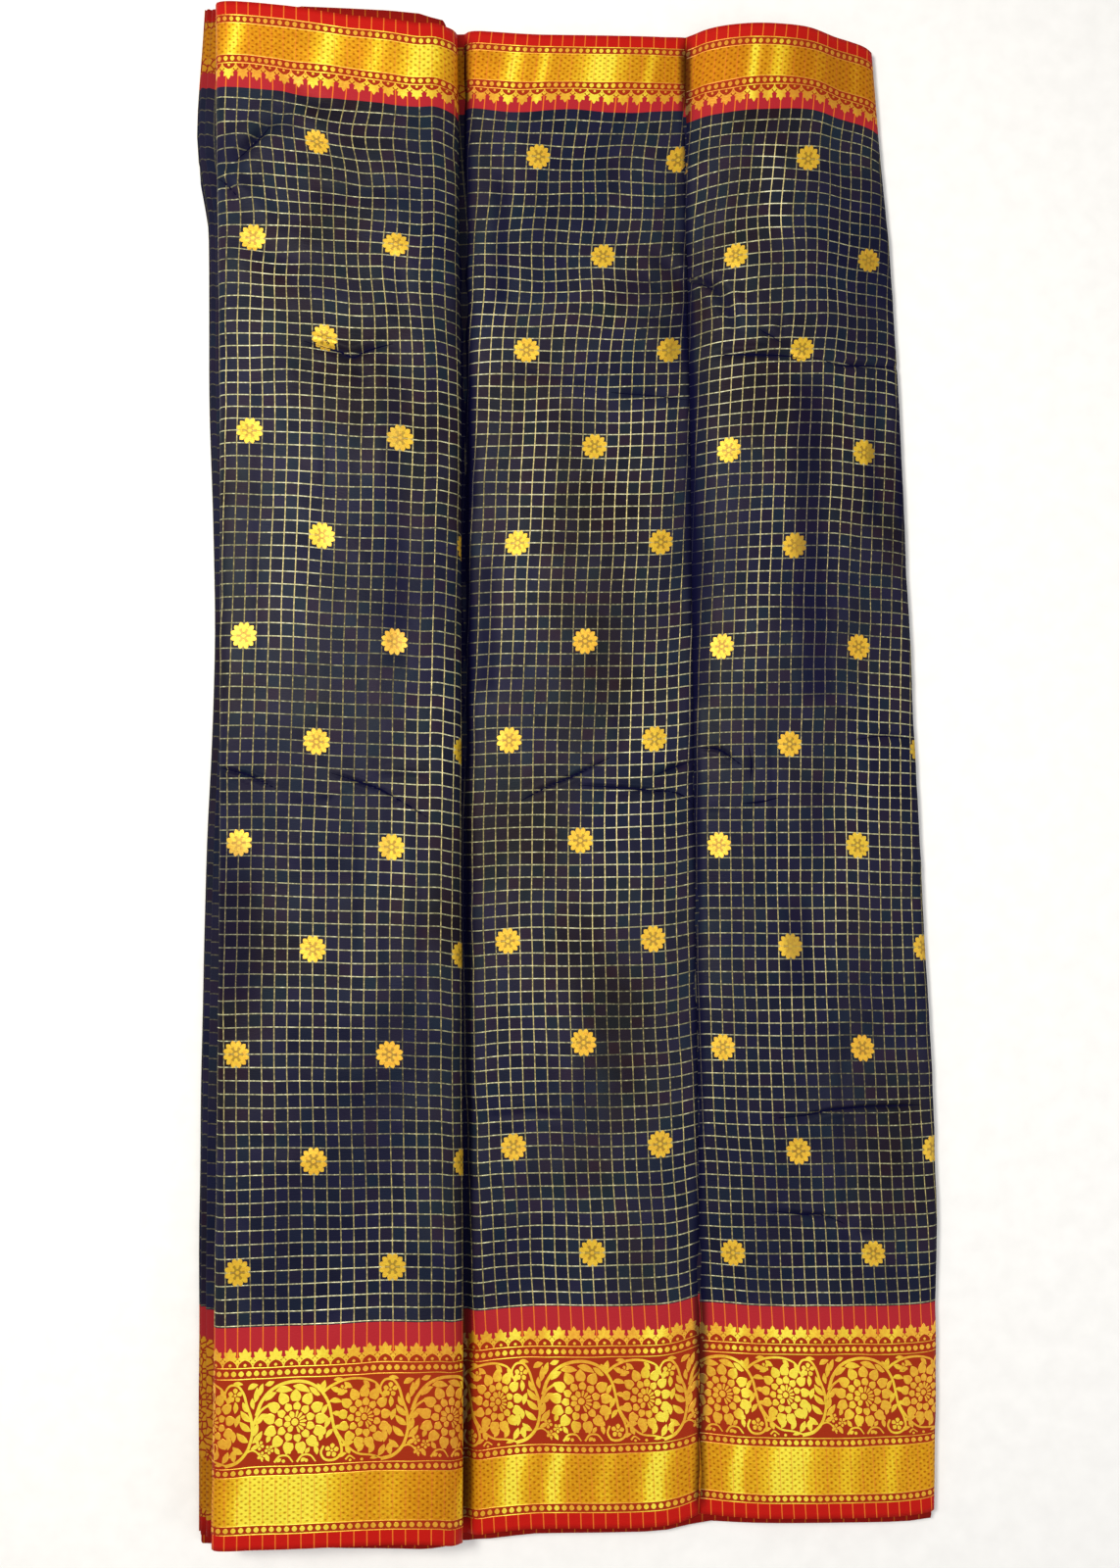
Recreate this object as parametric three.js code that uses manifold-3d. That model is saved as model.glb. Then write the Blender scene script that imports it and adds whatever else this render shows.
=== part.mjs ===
// A silk saree, folded lengthwise into a long flat bundle. Three pleats show side by side: a thick one on
// the left that rolls over a stack of layers, and two lower ones on the right that meet at a valley crease.
// Millimetres, +Z up. +X runs across the pleats, along the cloth's length; +Y runs along them, from the
// lower border to the upper one. The origin is the middle of the flat underside.
import * as THREE from 'three';
import { mergeVertices } from 'three/addons/utils/BufferGeometryUtils.js';
import Module from 'manifold-3d';

const wasm = await Module();
wasm.setup();

// Driving dimensions
const CHECK = 9.66; // side of one woven square
const FIELD_CHECKS = 96; // squares from border to border
const LOWER_BORDER = 164.2;
const UPPER_BORDER = 64;
const FIELD = CHECK * FIELD_CHECKS;
const CLOTH_WIDTH = LOWER_BORDER + FIELD + UPPER_BORDER;
const WALL = 1.2; // thickness of a pleat's wall
const GAP = 0.3; // room between a pleat and the layers that carry it
const SEAM = 0.3; // room between pieces that are side by side

// Plan of the folds: a row for each distance up the cloth from its lower edge. lip is the outermost edge of
// the layers under the left pleat, and the others are the pleats' own edges and the crease between the
// two on the right.
const FOLD_LINES = [
  { up: 0, lip: -272, left: -257.4, roll: -72.6, valley: 105.7, right: 284.5 },
  { up: 260, lip: -274.6, left: -257.1, roll: -73.3, valley: 106.2, right: 288.8 },
  { up: 485, lip: -273, left: -257.6, roll: -75.2, valley: 104.6, right: 280.9 },
  { up: 663, lip: -268.5, left: -259.3, roll: -76.2, valley: 103.3, right: 274.5 },
  { up: 863, lip: -275.5, left: -262.3, roll: -77, valley: 102, right: 267.8 },
  { up: 988, lip: -277.9, left: -265.3, roll: -78.8, valley: 100.2, right: 261.8 },
  { up: 1048, lip: -287.1, left: -267, roll: -79.4, valley: 99.3, right: 256.8 },
  { up: CLOTH_WIDTH, lip: -282.5, left: -269.1, roll: -80.6, valley: 100.4, right: 249.3 },
];

// Section of each pleat, from left to right: a row for each bend of its outer face. across is the share of
// the way between the two fold lines named in PLEATS; high, mid and low are its height above the ground
// at the upper edge, half-way and at the lower edge; top and bottom are where the cloth ends in Y.
const LEFT_BENDS = [
  { across: 0.008, high: 25.4, mid: 26.6, low: 27.2, top: 608, bottom: -564 },
  { across: 0, high: 28.4, mid: 30.2, low: 31, top: 608.5, bottom: -564.4 },
  { across: 0.02, high: 31.5, mid: 34, low: 34.8, top: 608.2, bottom: -564.4 },
  { across: 0.07, high: 33.6, mid: 35.8, low: 36.6, top: 607.4, bottom: -563.8 },
  { across: 0.17, high: 34.6, mid: 36.4, low: 37.2, top: 605.5, bottom: -562.6 },
  { across: 0.33, high: 35.5, mid: 37, low: 37.8, top: 601.9, bottom: -561.4 },
  { across: 0.54, high: 36, mid: 37, low: 38, top: 598.7, bottom: -560.6 },
  { across: 0.72, high: 36, mid: 37, low: 38, top: 596.4, bottom: -560.6 },
  { across: 0.845, high: 35.2, mid: 36.2, low: 37.2, top: 594.9, bottom: -561.6 },
  { across: 0.91, high: 33.2, mid: 34, low: 35, top: 593.1, bottom: -562.2 },
  { across: 0.958, high: 29.2, mid: 29.8, low: 30.6, top: 591.7, bottom: -563.2 },
  { across: 0.99, high: 23.4, mid: 23.8, low: 24.2, top: 590, bottom: -565.2 },
  { across: 1, high: 17.4, mid: 17.6, low: 17.8, top: 589, bottom: -567.2 },
  { across: 0.985, high: 12.2, mid: 12.3, low: 12.4, top: 588.6, bottom: -568.2 },
  { across: 0.95, high: 9.2, mid: 9.2, low: 9.2, top: 588.5, bottom: -568.6 },
  { across: 0.9, high: 8.4, mid: 8.4, low: 8.4, top: 588.5, bottom: -568.6 },
];
const CENTRE_BENDS = [
  { across: -0.1, high: 8, mid: 8, low: 8, top: 600, bottom: -567.4 },
  { across: -0.03, high: 8, mid: 8, low: 8, top: 600, bottom: -567.4 },
  { across: 0.045, high: 8.2, mid: 8.2, low: 8.4, top: 599.6, bottom: -567.2 },
  { across: 0.135, high: 11, mid: 11, low: 11.4, top: 597.6, bottom: -563.4 },
  { across: 0.31, high: 14, mid: 14.4, low: 15, top: 594.2, bottom: -559.4 },
  { across: 0.565, high: 15, mid: 15.4, low: 16, top: 592.5, bottom: -558.7 },
  { across: 0.82, high: 12, mid: 12.6, low: 14, top: 593.7, bottom: -558.4 },
  { across: 0.91, high: 9.4, mid: 10, low: 11.4, top: 594.8, bottom: -556.8 },
  { across: 0.97, high: 7.2, mid: 7.6, low: 8.4, top: 596, bottom: -554.4 },
  { across: 1, high: 6.2, mid: 6.4, low: 6.8, top: 596.3, bottom: -552.8 },
];
const RIGHT_BENDS = [
  { across: 0, high: 6.2, mid: 6.4, low: 6.8, top: 596.5, bottom: -552.6 },
  { across: 0.04, high: 8.6, mid: 8.8, low: 9.4, top: 597.3, bottom: -552 },
  { across: 0.105, high: 15, mid: 13.2, low: 12.2, top: 597.3, bottom: -551.8 },
  { across: 0.215, high: 21.6, mid: 18, low: 15.3, top: 596.6, bottom: -551.5 },
  { across: 0.35, high: 25, mid: 20.2, low: 16.2, top: 596, bottom: -551.5 },
  { across: 0.5, high: 25, mid: 20.2, low: 16.2, top: 595.2, bottom: -551.5 },
  { across: 0.65, high: 22, mid: 18.6, low: 15.4, top: 594.1, bottom: -551.4 },
  { across: 0.785, high: 16, mid: 15.2, low: 13.4, top: 590.4, bottom: -551.6 },
  { across: 0.88, high: 12, mid: 12, low: 11, top: 588.9, bottom: -551.7 },
  { across: 0.95, high: 9.2, mid: 9.4, low: 9, top: 587, bottom: -551.2 },
  { across: 0.985, high: 7, mid: 7.2, low: 7.2, top: 585, bottom: -550.4 },
  { across: 1, high: 4.8, mid: 4.8, low: 4.8, top: 584.1, bottom: -549.7 },
  { across: 0.995, high: 3, mid: 3, low: 3, top: 584.1, bottom: -549.7 },
];
const PLEATS = {
  left: { from: 'left', to: 'roll', bends: LEFT_BENDS, inset: { from: 0, to: 0 } },
  centre: { from: 'roll', to: 'valley', bends: CENTRE_BENDS, inset: { from: 0, to: SEAM / 2 } },
  right: { from: 'valley', to: 'right', bends: RIGHT_BENDS, inset: { from: SEAM / 2, to: 0 } },
};

// Each pleat is cut across where its border begins: a row for each piece, from the lower edge up
const PIECES = [
  { name: 'lower_border', start: 0, end: LOWER_BORDER - SEAM / 2, steps: 4 },
  { name: 'field', start: LOWER_BORDER + SEAM / 2, end: LOWER_BORDER + FIELD - SEAM / 2, steps: 14 },
  { name: 'upper_border', start: LOWER_BORDER + FIELD + SEAM / 2, end: CLOTH_WIDTH, steps: 2 },
];

// The hidden layers under all three pleats, and those inside the left one, from the ground up: how far each
// layer's folded edge stands beyond the pleats' outline at each side
const BASE_LAYERS = [
  { side: -1.5, top: 1, bottom: 4 },
  { side: -0.5, top: -1.5, bottom: 8 },
  { side: -3.5, top: -0.5, bottom: 5 },
  { side: -1, top: -2, bottom: -1 },
];
const STACK_LAYERS = [
  { side: -2.5, top: -1, bottom: -2 },
  { side: 0, top: -2, bottom: -1 },
  { side: -3, top: -1.2, bottom: -2.4 },
  { side: -1.2, top: -2.2, bottom: -1.2 },
  { side: 1.6, top: -1, bottom: -2 },
  { side: 2.4, top: -1.8, bottom: -1 },
];
const ROWS_PER_LAYER = 3;
const LAYER_NOTCH = 0.9; // depth of the groove between two folded edges
const STACK_FLOOR = 10; // underside of the layers inside the left pleat
const BASE_RISE = 10.8; // top of the base layers under them
const BASE_END = -100.6; // X where the base layers step down below the centre pleat
const CORNER_RISE = 8; // how far the outermost layers slide up beyond the left pleat's upper corner
const CORNER_REACH = 22; // and how far across they do
const CORE_STEPS = 22; // steps of the hidden layers along the pleats

// The value of a table's column at a place between its rows, on a smooth curve through all of them: a
// cubic whose slope at each row is that of the line between the row's neighbours
function along(rows, key, column, place) {
  const last = rows.length - 1;
  const next = Math.min(Math.max(rows.findIndex((row) => row[key] > place), 1), last);
  const i = place >= rows[last][key] ? last - 1 : next - 1;
  const slope = (k) => {
    const [a, b] = [rows[Math.max(k - 1, 0)], rows[Math.min(k + 1, last)]];
    return (b[column] - a[column]) / (b[key] - a[key]);
  };
  const [from, to] = [rows[i], rows[i + 1]];
  const step = to[key] - from[key];
  const t = (place - from[key]) / step;
  return (
    from[column] * (1 + 2 * t) * (1 - t) ** 2 +
    to[column] * t * t * (3 - 2 * t) +
    slope(i) * step * t * (1 - t) ** 2 -
    slope(i + 1) * step * t * t * (1 - t)
  );
}

const foldLine = (name, up) => along(FOLD_LINES, 'up', name, up);

// The parabola through a bend's low, mid and high values, at a share of the way up
const heightOf = (bend, share) =>
  bend.low * (1 - share) * (1 - 2 * share) +
  bend.mid * 4 * share * (1 - share) +
  bend.high * share * (2 * share - 1);

// The outer face of a pleat where it is cut across, at a distance up the cloth
function section(pleat, up) {
  const start = foldLine(pleat.from, up) + pleat.inset.from;
  const width = foldLine(pleat.to, up) - pleat.inset.to - start;
  const share = up / CLOTH_WIDTH;
  return pleat.bends.map(
    (bend) =>
      new THREE.Vector3(
        start + width * bend.across,
        bend.bottom + (bend.top - bend.bottom) * share,
        heightOf(bend, share),
      ),
  );
}

// A section moved to its hidden side by a distance, with mitred corners: each point goes along the mean of
// the normals of its two neighbouring sides, further where they turn
function inward(points, distance) {
  const normal = (a, b) => new THREE.Vector2(b.z - a.z, a.x - b.x).normalize();
  return points.map((point, i) => {
    const before = normal(points[Math.max(i - 1, 0)], points[Math.max(i, 1)]);
    const after = normal(points[Math.min(i, points.length - 2)], points[Math.min(i + 1, points.length - 1)]);
    const mean = before.clone().add(after).normalize();
    const reach = distance / mean.dot(after);
    return new THREE.Vector3(point.x + mean.x * reach, point.y, point.z + mean.y * reach);
  });
}

// A box whose grid of nx by ny by nz cells is moved point by point: place gives the new point of each corner
function formed([nx, ny, nz], place) {
  const box = new THREE.BoxGeometry(1, 1, 1, nx, ny, nz);
  box.deleteAttribute('normal');
  box.deleteAttribute('uv');
  const geometry = mergeVertices(box);
  const positions = geometry.getAttribute('position');
  const corner = new THREE.Vector3();
  for (let n = 0; n < positions.count; n += 1) {
    corner.fromBufferAttribute(positions, n).addScalar(0.5);
    const point = place(Math.round(corner.x * nx), Math.round(corner.y * ny), Math.round(corner.z * nz));
    positions.setXYZ(n, point.x, point.y, point.z);
  }
  return geometry;
}

// One piece of a pleat: a wall between its outer face and the same face moved inward
function pleatWall(pleat, piece) {
  const faces = Array.from({ length: piece.steps + 1 }, (_, j) => {
    const outer = section(pleat, piece.start + ((piece.end - piece.start) * j) / piece.steps);
    return [inward(outer, WALL), outer];
  });
  return formed([pleat.bends.length - 1, piece.steps, 1], (i, j, k) => faces[j][k][i]);
}

// How far a stack's end or side stands out at a row of its grid: the layer's own reach, less the groove where
// two layers meet
function edgeOf(layers, side, row) {
  const layer = layers[Math.min(Math.floor(row / ROWS_PER_LAYER), layers.length - 1)];
  return layer[side] - (row % ROWS_PER_LAYER === 0 ? LAYER_NOTCH : 0);
}

// A point on a line of points, at a share of the way along it
function pointAt(points, share) {
  const place = share * (points.length - 1);
  const i = Math.min(Math.floor(place), points.length - 2);
  return points[i].clone().lerp(points[i + 1], place - i);
}

// The sections of both right-hand pleats, joined at their crease and moved below their walls
function carried(up) {
  const centre = section(PLEATS.centre, up).slice(1);
  const right = section(PLEATS.right, up).slice(1, -2);
  return inward([...centre, ...right], WALL + GAP);
}

// The layers under everything: flat below, and above they follow the two right-hand pleats and then rise in a
// step to carry the left stack
const UNDER_STACK = [0, 0.25, 0.5, 0.75, 1];
function baseLayers() {
  const rows = BASE_LAYERS.length * ROWS_PER_LAYER;
  const tops = Array.from({ length: CORE_STEPS + 1 }, (_, j) => {
    const up = (CLOTH_WIDTH * j) / CORE_STEPS;
    const lip = foldLine('lip', up);
    const step = section(PLEATS.centre, up)[0];
    const below = step.z - WALL - GAP;
    const lifted = UNDER_STACK.map((share) => new THREE.Vector3(lip + (BASE_END - lip) * share, step.y, BASE_RISE));
    return [...lifted, new THREE.Vector3(BASE_END + 1, step.y, below), ...carried(up)];
  });
  const across = tops[0].length - 1;
  return formed([across, CORE_STEPS, rows], (i, j, k) => {
    const top = tops[j][i];
    const point = new THREE.Vector3(top.x, top.y, (top.z * k) / rows);
    if (i === 0) point.x -= edgeOf(BASE_LAYERS, 'side', k);
    if (i === across) point.x -= k % ROWS_PER_LAYER === 0 ? LAYER_NOTCH / 2 : 0;
    if (j === 0) point.y -= edgeOf(BASE_LAYERS, 'bottom', k);
    if (j === CORE_STEPS) point.y += edgeOf(BASE_LAYERS, 'top', k);
    return point;
  });
}

// The layers inside the left pleat: flat below, with folded edges on the left and the pleat's roll on the
// right. A point of the section lies on the straight line between these two sides, lifted by its share of the
// bow of the pleat's top.
const STACK_TOP = { first: 2, last: 8 }; // the bends of the left pleat that lie on the stack
function stackLayers() {
  const rows = STACK_LAYERS.length * ROWS_PER_LAYER;
  const across = STACK_TOP.last - STACK_TOP.first;
  const sections = Array.from({ length: CORE_STEPS + 1 }, (_, j) => {
    const up = (CLOTH_WIDTH * j) / CORE_STEPS;
    const inside = inward(section(PLEATS.left, up), WALL + GAP);
    const top = inside.slice(STACK_TOP.first, STACK_TOP.last + 1);
    const roll = inside.slice(STACK_TOP.last, -1).reverse();
    const lip = foldLine('lip', up);
    const inner = inside[1].x;
    const left = Array.from({ length: rows + 1 }, (__, k) => {
      const layer = Math.min(Math.floor(k / ROWS_PER_LAYER), STACK_LAYERS.length - 1);
      const shown = layer < STACK_LAYERS.length - 2;
      const x = (shown ? lip : inner + 5.4) - edgeOf(STACK_LAYERS, 'side', k);
      return new THREE.Vector3(x, top[0].y, STACK_FLOOR + ((top[0].z - STACK_FLOOR) * k) / rows);
    });
    left[rows] = top[0];
    return { left, top, roll };
  });
  return formed([across, CORE_STEPS, rows], (i, j, k) => {
    const { left, top, roll } = sections[j];
    const [u, t] = [i / across, k / rows];
    const bow = top[i].clone().sub(top[0].clone().lerp(top[across], u));
    const point = left[k].clone().lerp(pointAt(roll, t), u).addScaledVector(bow, t);
    const slide = Math.max(0, 1 - (point.x - left[k].x) / CORNER_REACH) * (t < 0.6 ? CORNER_RISE : 0);
    if (j === 0) point.y -= edgeOf(STACK_LAYERS, 'bottom', k);
    if (j === CORE_STEPS) point.y += edgeOf(STACK_LAYERS, 'top', k) + slide;
    return point;
  });
}

// One rounded solid of both stacks
function hiddenLayers() {
  const [base, stack] = [baseLayers(), stackLayers()].map(
    (geometry) =>
      new wasm.Manifold(
        new wasm.Mesh({
          numProp: 3,
          vertProperties: Float32Array.from(geometry.getAttribute('position').array),
          triVerts: Uint32Array.from(geometry.getIndex().array),
        }),
      ),
  );
  const mesh = base.add(stack).getMesh();
  const geometry = new THREE.BufferGeometry();
  geometry.setAttribute('position', new THREE.BufferAttribute(mesh.vertProperties, mesh.numProp));
  geometry.setIndex(new THREE.BufferAttribute(mesh.triVerts, 1));
  return geometry;
}

const woven = (color, roughness, metalness) =>
  new THREE.MeshStandardMaterial({ color, roughness, metalness, side: THREE.FrontSide });
const MATERIALS = {
  field: woven('#20203a', 0.55, 0),
  upper_border: woven('#d8a020', 0.4, 0.5),
  lower_border: woven('#d8a020', 0.4, 0.5),
  hidden: woven('#2a1c30', 0.7, 0),
};

const saree = new THREE.Group();

function addMesh(name, geometry, material) {
  const shape = geometry.toNonIndexed();
  shape.computeVertexNormals();
  const mesh = new THREE.Mesh(shape, material);
  mesh.name = name;
  saree.add(mesh);
}

for (const [side, pleat] of Object.entries(PLEATS)) {
  for (const piece of PIECES) {
    addMesh(`${side}_pleat_${piece.name}`, pleatWall(pleat, piece), MATERIALS[piece.name]);
  }
}
addMesh('hidden_layers', hiddenLayers(), MATERIALS.hidden);

// The middle of the underside becomes the origin
const box = new THREE.Box3().setFromObject(saree);
const middle = box.getCenter(new THREE.Vector3());
for (const mesh of saree.children) mesh.geometry.translate(-middle.x, -middle.y, -box.min.z);

export default saree;
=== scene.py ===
import bpy
import numpy as np
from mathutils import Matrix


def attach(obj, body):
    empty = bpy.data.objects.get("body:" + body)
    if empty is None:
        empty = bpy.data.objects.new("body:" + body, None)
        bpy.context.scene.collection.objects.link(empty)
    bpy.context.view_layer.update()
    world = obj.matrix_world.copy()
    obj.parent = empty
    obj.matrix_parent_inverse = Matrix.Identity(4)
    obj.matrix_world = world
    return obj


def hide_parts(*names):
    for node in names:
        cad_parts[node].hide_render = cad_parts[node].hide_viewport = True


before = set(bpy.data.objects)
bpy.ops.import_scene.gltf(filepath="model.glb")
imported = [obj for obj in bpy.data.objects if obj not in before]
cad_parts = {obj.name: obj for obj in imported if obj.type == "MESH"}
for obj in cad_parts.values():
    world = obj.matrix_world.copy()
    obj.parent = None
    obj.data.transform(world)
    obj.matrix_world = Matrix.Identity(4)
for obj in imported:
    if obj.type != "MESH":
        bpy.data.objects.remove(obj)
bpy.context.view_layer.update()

# A silk saree, folded lengthwise into a flat bundle. Lengths are millimetres on the same plan as the solids:
# X across the pleats, Y along them from the lower border to the upper one, Z up. Only add_mesh turns them
# into metres round the origin of the frame.
MIDDLE = np.array([0.8535, 19.9, 0.0])

# ---------------------------------------------------------------------------------------------- the cloth
CHECK = 9.66
FIELD_CHECKS = 96
LOWER_BORDER = 164.2
UPPER_BORDER = 64.0
CLOTH_WIDTH = LOWER_BORDER + CHECK * FIELD_CHECKS + UPPER_BORDER
FIELD_TOP = CLOTH_WIDTH - UPPER_BORDER
FIRST_LINE = 8.2  # from the field's upper edge down to its first line across
SILK_THICKNESS = 0.45

# Fold lines in plan: a column for each distance up the cloth from its lower edge
FOLD_LINES = {
    "up": (0, 260, 485, 663, 863, 988, 1048, CLOTH_WIDTH),
    "lip": (-272, -274.6, -273, -268.5, -275.5, -277.9, -287.1, -282.5),
    "left": (-257.4, -257.1, -257.6, -259.3, -262.3, -265.3, -267, -269.1),
    "roll": (-72.6, -73.3, -75.2, -76.2, -77, -78.8, -79.4, -80.6),
    "valley": (105.7, 106.2, 104.6, 103.3, 102, 100.2, 99.3, 100.4),
    "right": (284.5, 288.8, 280.9, 274.5, 267.8, 261.8, 256.8, 249.3),
}

# Bends of each pleat from left to right: across (share of the way between its two fold lines), high, mid and
# low (height at the upper edge, half-way and at the lower edge), top and bottom (Y of the cloth's ends)
LEFT_BENDS = (
    (0.065, 23.4, 24.2, 24.6, 607.6, -564),
    (0.03, 23.6, 24.6, 25, 607.8, -564),
    (0.008, 25.4, 26.6, 27.2, 608, -564),
    (0, 28.4, 30.2, 31, 608.5, -564.4),
    (0.02, 31.5, 34, 34.8, 608.2, -564.4),
    (0.07, 33.6, 35.8, 36.6, 607.4, -563.8),
    (0.17, 34.6, 36.4, 37.2, 605.5, -562.6),
    (0.33, 35.5, 37, 37.8, 601.9, -561.4),
    (0.54, 36, 37, 38, 595.2, -559.6),
    (0.72, 36, 37, 38, 591.8, -558.4),
    (0.845, 35.2, 36.2, 37.2, 588.9, -558.8),
    (0.91, 33.2, 34, 35, 590.1, -560.2),
    (0.958, 29.2, 29.8, 30.6, 589.7, -563.2),
    (0.99, 23.4, 23.8, 24.2, 590, -565.2),
    (1, 17.4, 17.6, 17.8, 589, -567.2),
    (0.985, 12.2, 12.3, 12.4, 588.6, -568.2),
    (0.95, 9.2, 9.2, 9.2, 588.5, -568.6),
    (0.9, 8.4, 8.4, 8.4, 588.5, -568.6),
)
CENTRE_BENDS = (
    (-0.1, 7, 7, 7, 600, -567.4),
    (-0.03, 6.4, 6.4, 6.4, 600, -567.4),
    (0.014, 4.4, 4.4, 5, 599.8, -567.3),
    (0.04, 8.6, 8.6, 8.8, 599.6, -567),
    (0.075, 11, 11, 11.2, 598.8, -565.8),
    (0.135, 12.2, 12.2, 12.6, 597.6, -563.4),
    (0.31, 14, 14.4, 15, 594.2, -559.4),
    (0.565, 15, 15.4, 16, 592.5, -558.7),
    (0.82, 12, 12.6, 14, 593.7, -558.4),
    (0.91, 9.4, 10, 11.4, 594.8, -556.8),
    (0.97, 7.2, 7.6, 8.4, 596, -554.4),
    (1, 6.2, 6.4, 6.8, 596.3, -552.8),
)
RIGHT_BENDS = (
    (0, 6.2, 6.4, 6.8, 596.5, -552.6),
    (0.04, 8.6, 8.8, 9.4, 597.3, -552),
    (0.105, 15, 13.2, 12.2, 597.3, -551.8),
    (0.215, 21.6, 18, 15.3, 596.6, -551.5),
    (0.35, 25, 20.2, 16.2, 596, -551.5),
    (0.5, 25, 20.2, 16.2, 595.2, -551.5),
    (0.65, 22, 18.6, 15.4, 594.1, -551.4),
    (0.785, 16, 15.2, 13.4, 590.4, -551.6),
    (0.88, 12, 12, 11, 588.9, -551.7),
    (0.95, 9.2, 9.4, 9, 587, -551.2),
    (0.985, 7, 7.2, 7.2, 585, -550.4),
    (1, 4.8, 4.8, 4.8, 584.1, -549.7),
    (0.995, 3, 3, 3, 584.1, -549.7),
)

# Where the weave lies on the folds. s is the distance along the cloth, counted from the first flower; it is
# given where the left pleat and the valley begin. w is the distance up the cloth, and slip is how far the
# weave has slid up the pleat, at its left and right end.
WEAVE_UP = (0, 204, 359, 513, 668, 822, 977, CLOTH_WIDTH)
WEAVE_LEFT = (-27, -25.2, -21.8, -22.3, -25.8, -31, -32, -33.3)
WEAVE_VALLEY = (18, 29, 35.3, 36, 31, 22.5, 12.5, -2)
# Where the weave leans to one side: pleat, how far, share across, distance up and both half-widths
LEANS = (
    ("left", 5, 0.48, 1060, 0.24, 20), ("left", -3, 0.22, 985, 0.16, 24),
    ("left", 2.5, 0.66, 960, 0.2, 30), ("centre", -2, 0.6, 940, 0.25, 26),
    ("right", 2.4, 0.3, 1000, 0.2, 32), ("right", -2.4, 0.62, 930, 0.2, 26),
)
VALLEY_HALF = 1.0  # half of the cloth that is lost in the valley crease
TUCK = 11.1  # arc of the left pleat that is turned in under its edge, before WEAVE_LEFT
SLIP_UP = (0, 60, 160, 350, 600, 820, 970, 1090, CLOTH_WIDTH)
SLIPS = {
    "left": ((0, -4, -7, -3, -2, -2, -7, -3, 0), (0, 0, -1.5, -1, 0, 5, 3, -5, 0)),
    "centre": ((0, 0, 0, 3.5, 3, 1, -1, 1, 0), (0, 0, -1, 4, 4, 3.5, 0, 3, 0)),
    "right": ((0, -1.5, -6.5, -7, -6, -8, -10, -6, 0), (0, -2.5, -6.5, -5, -3, -1, 2, -3, 0)),
}
PLEATS = {
    "left": {"from": "left", "to": "roll", "bends": LEFT_BENDS, "stretch": 1.01, "seed": 1},
    "centre": {"from": "roll", "to": "valley", "bends": CENTRE_BENDS, "stretch": 1.035, "seed": 2},
    "right": {"from": "valley", "to": "right", "bends": RIGHT_BENDS, "stretch": 1.09, "seed": 3},
}

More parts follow.
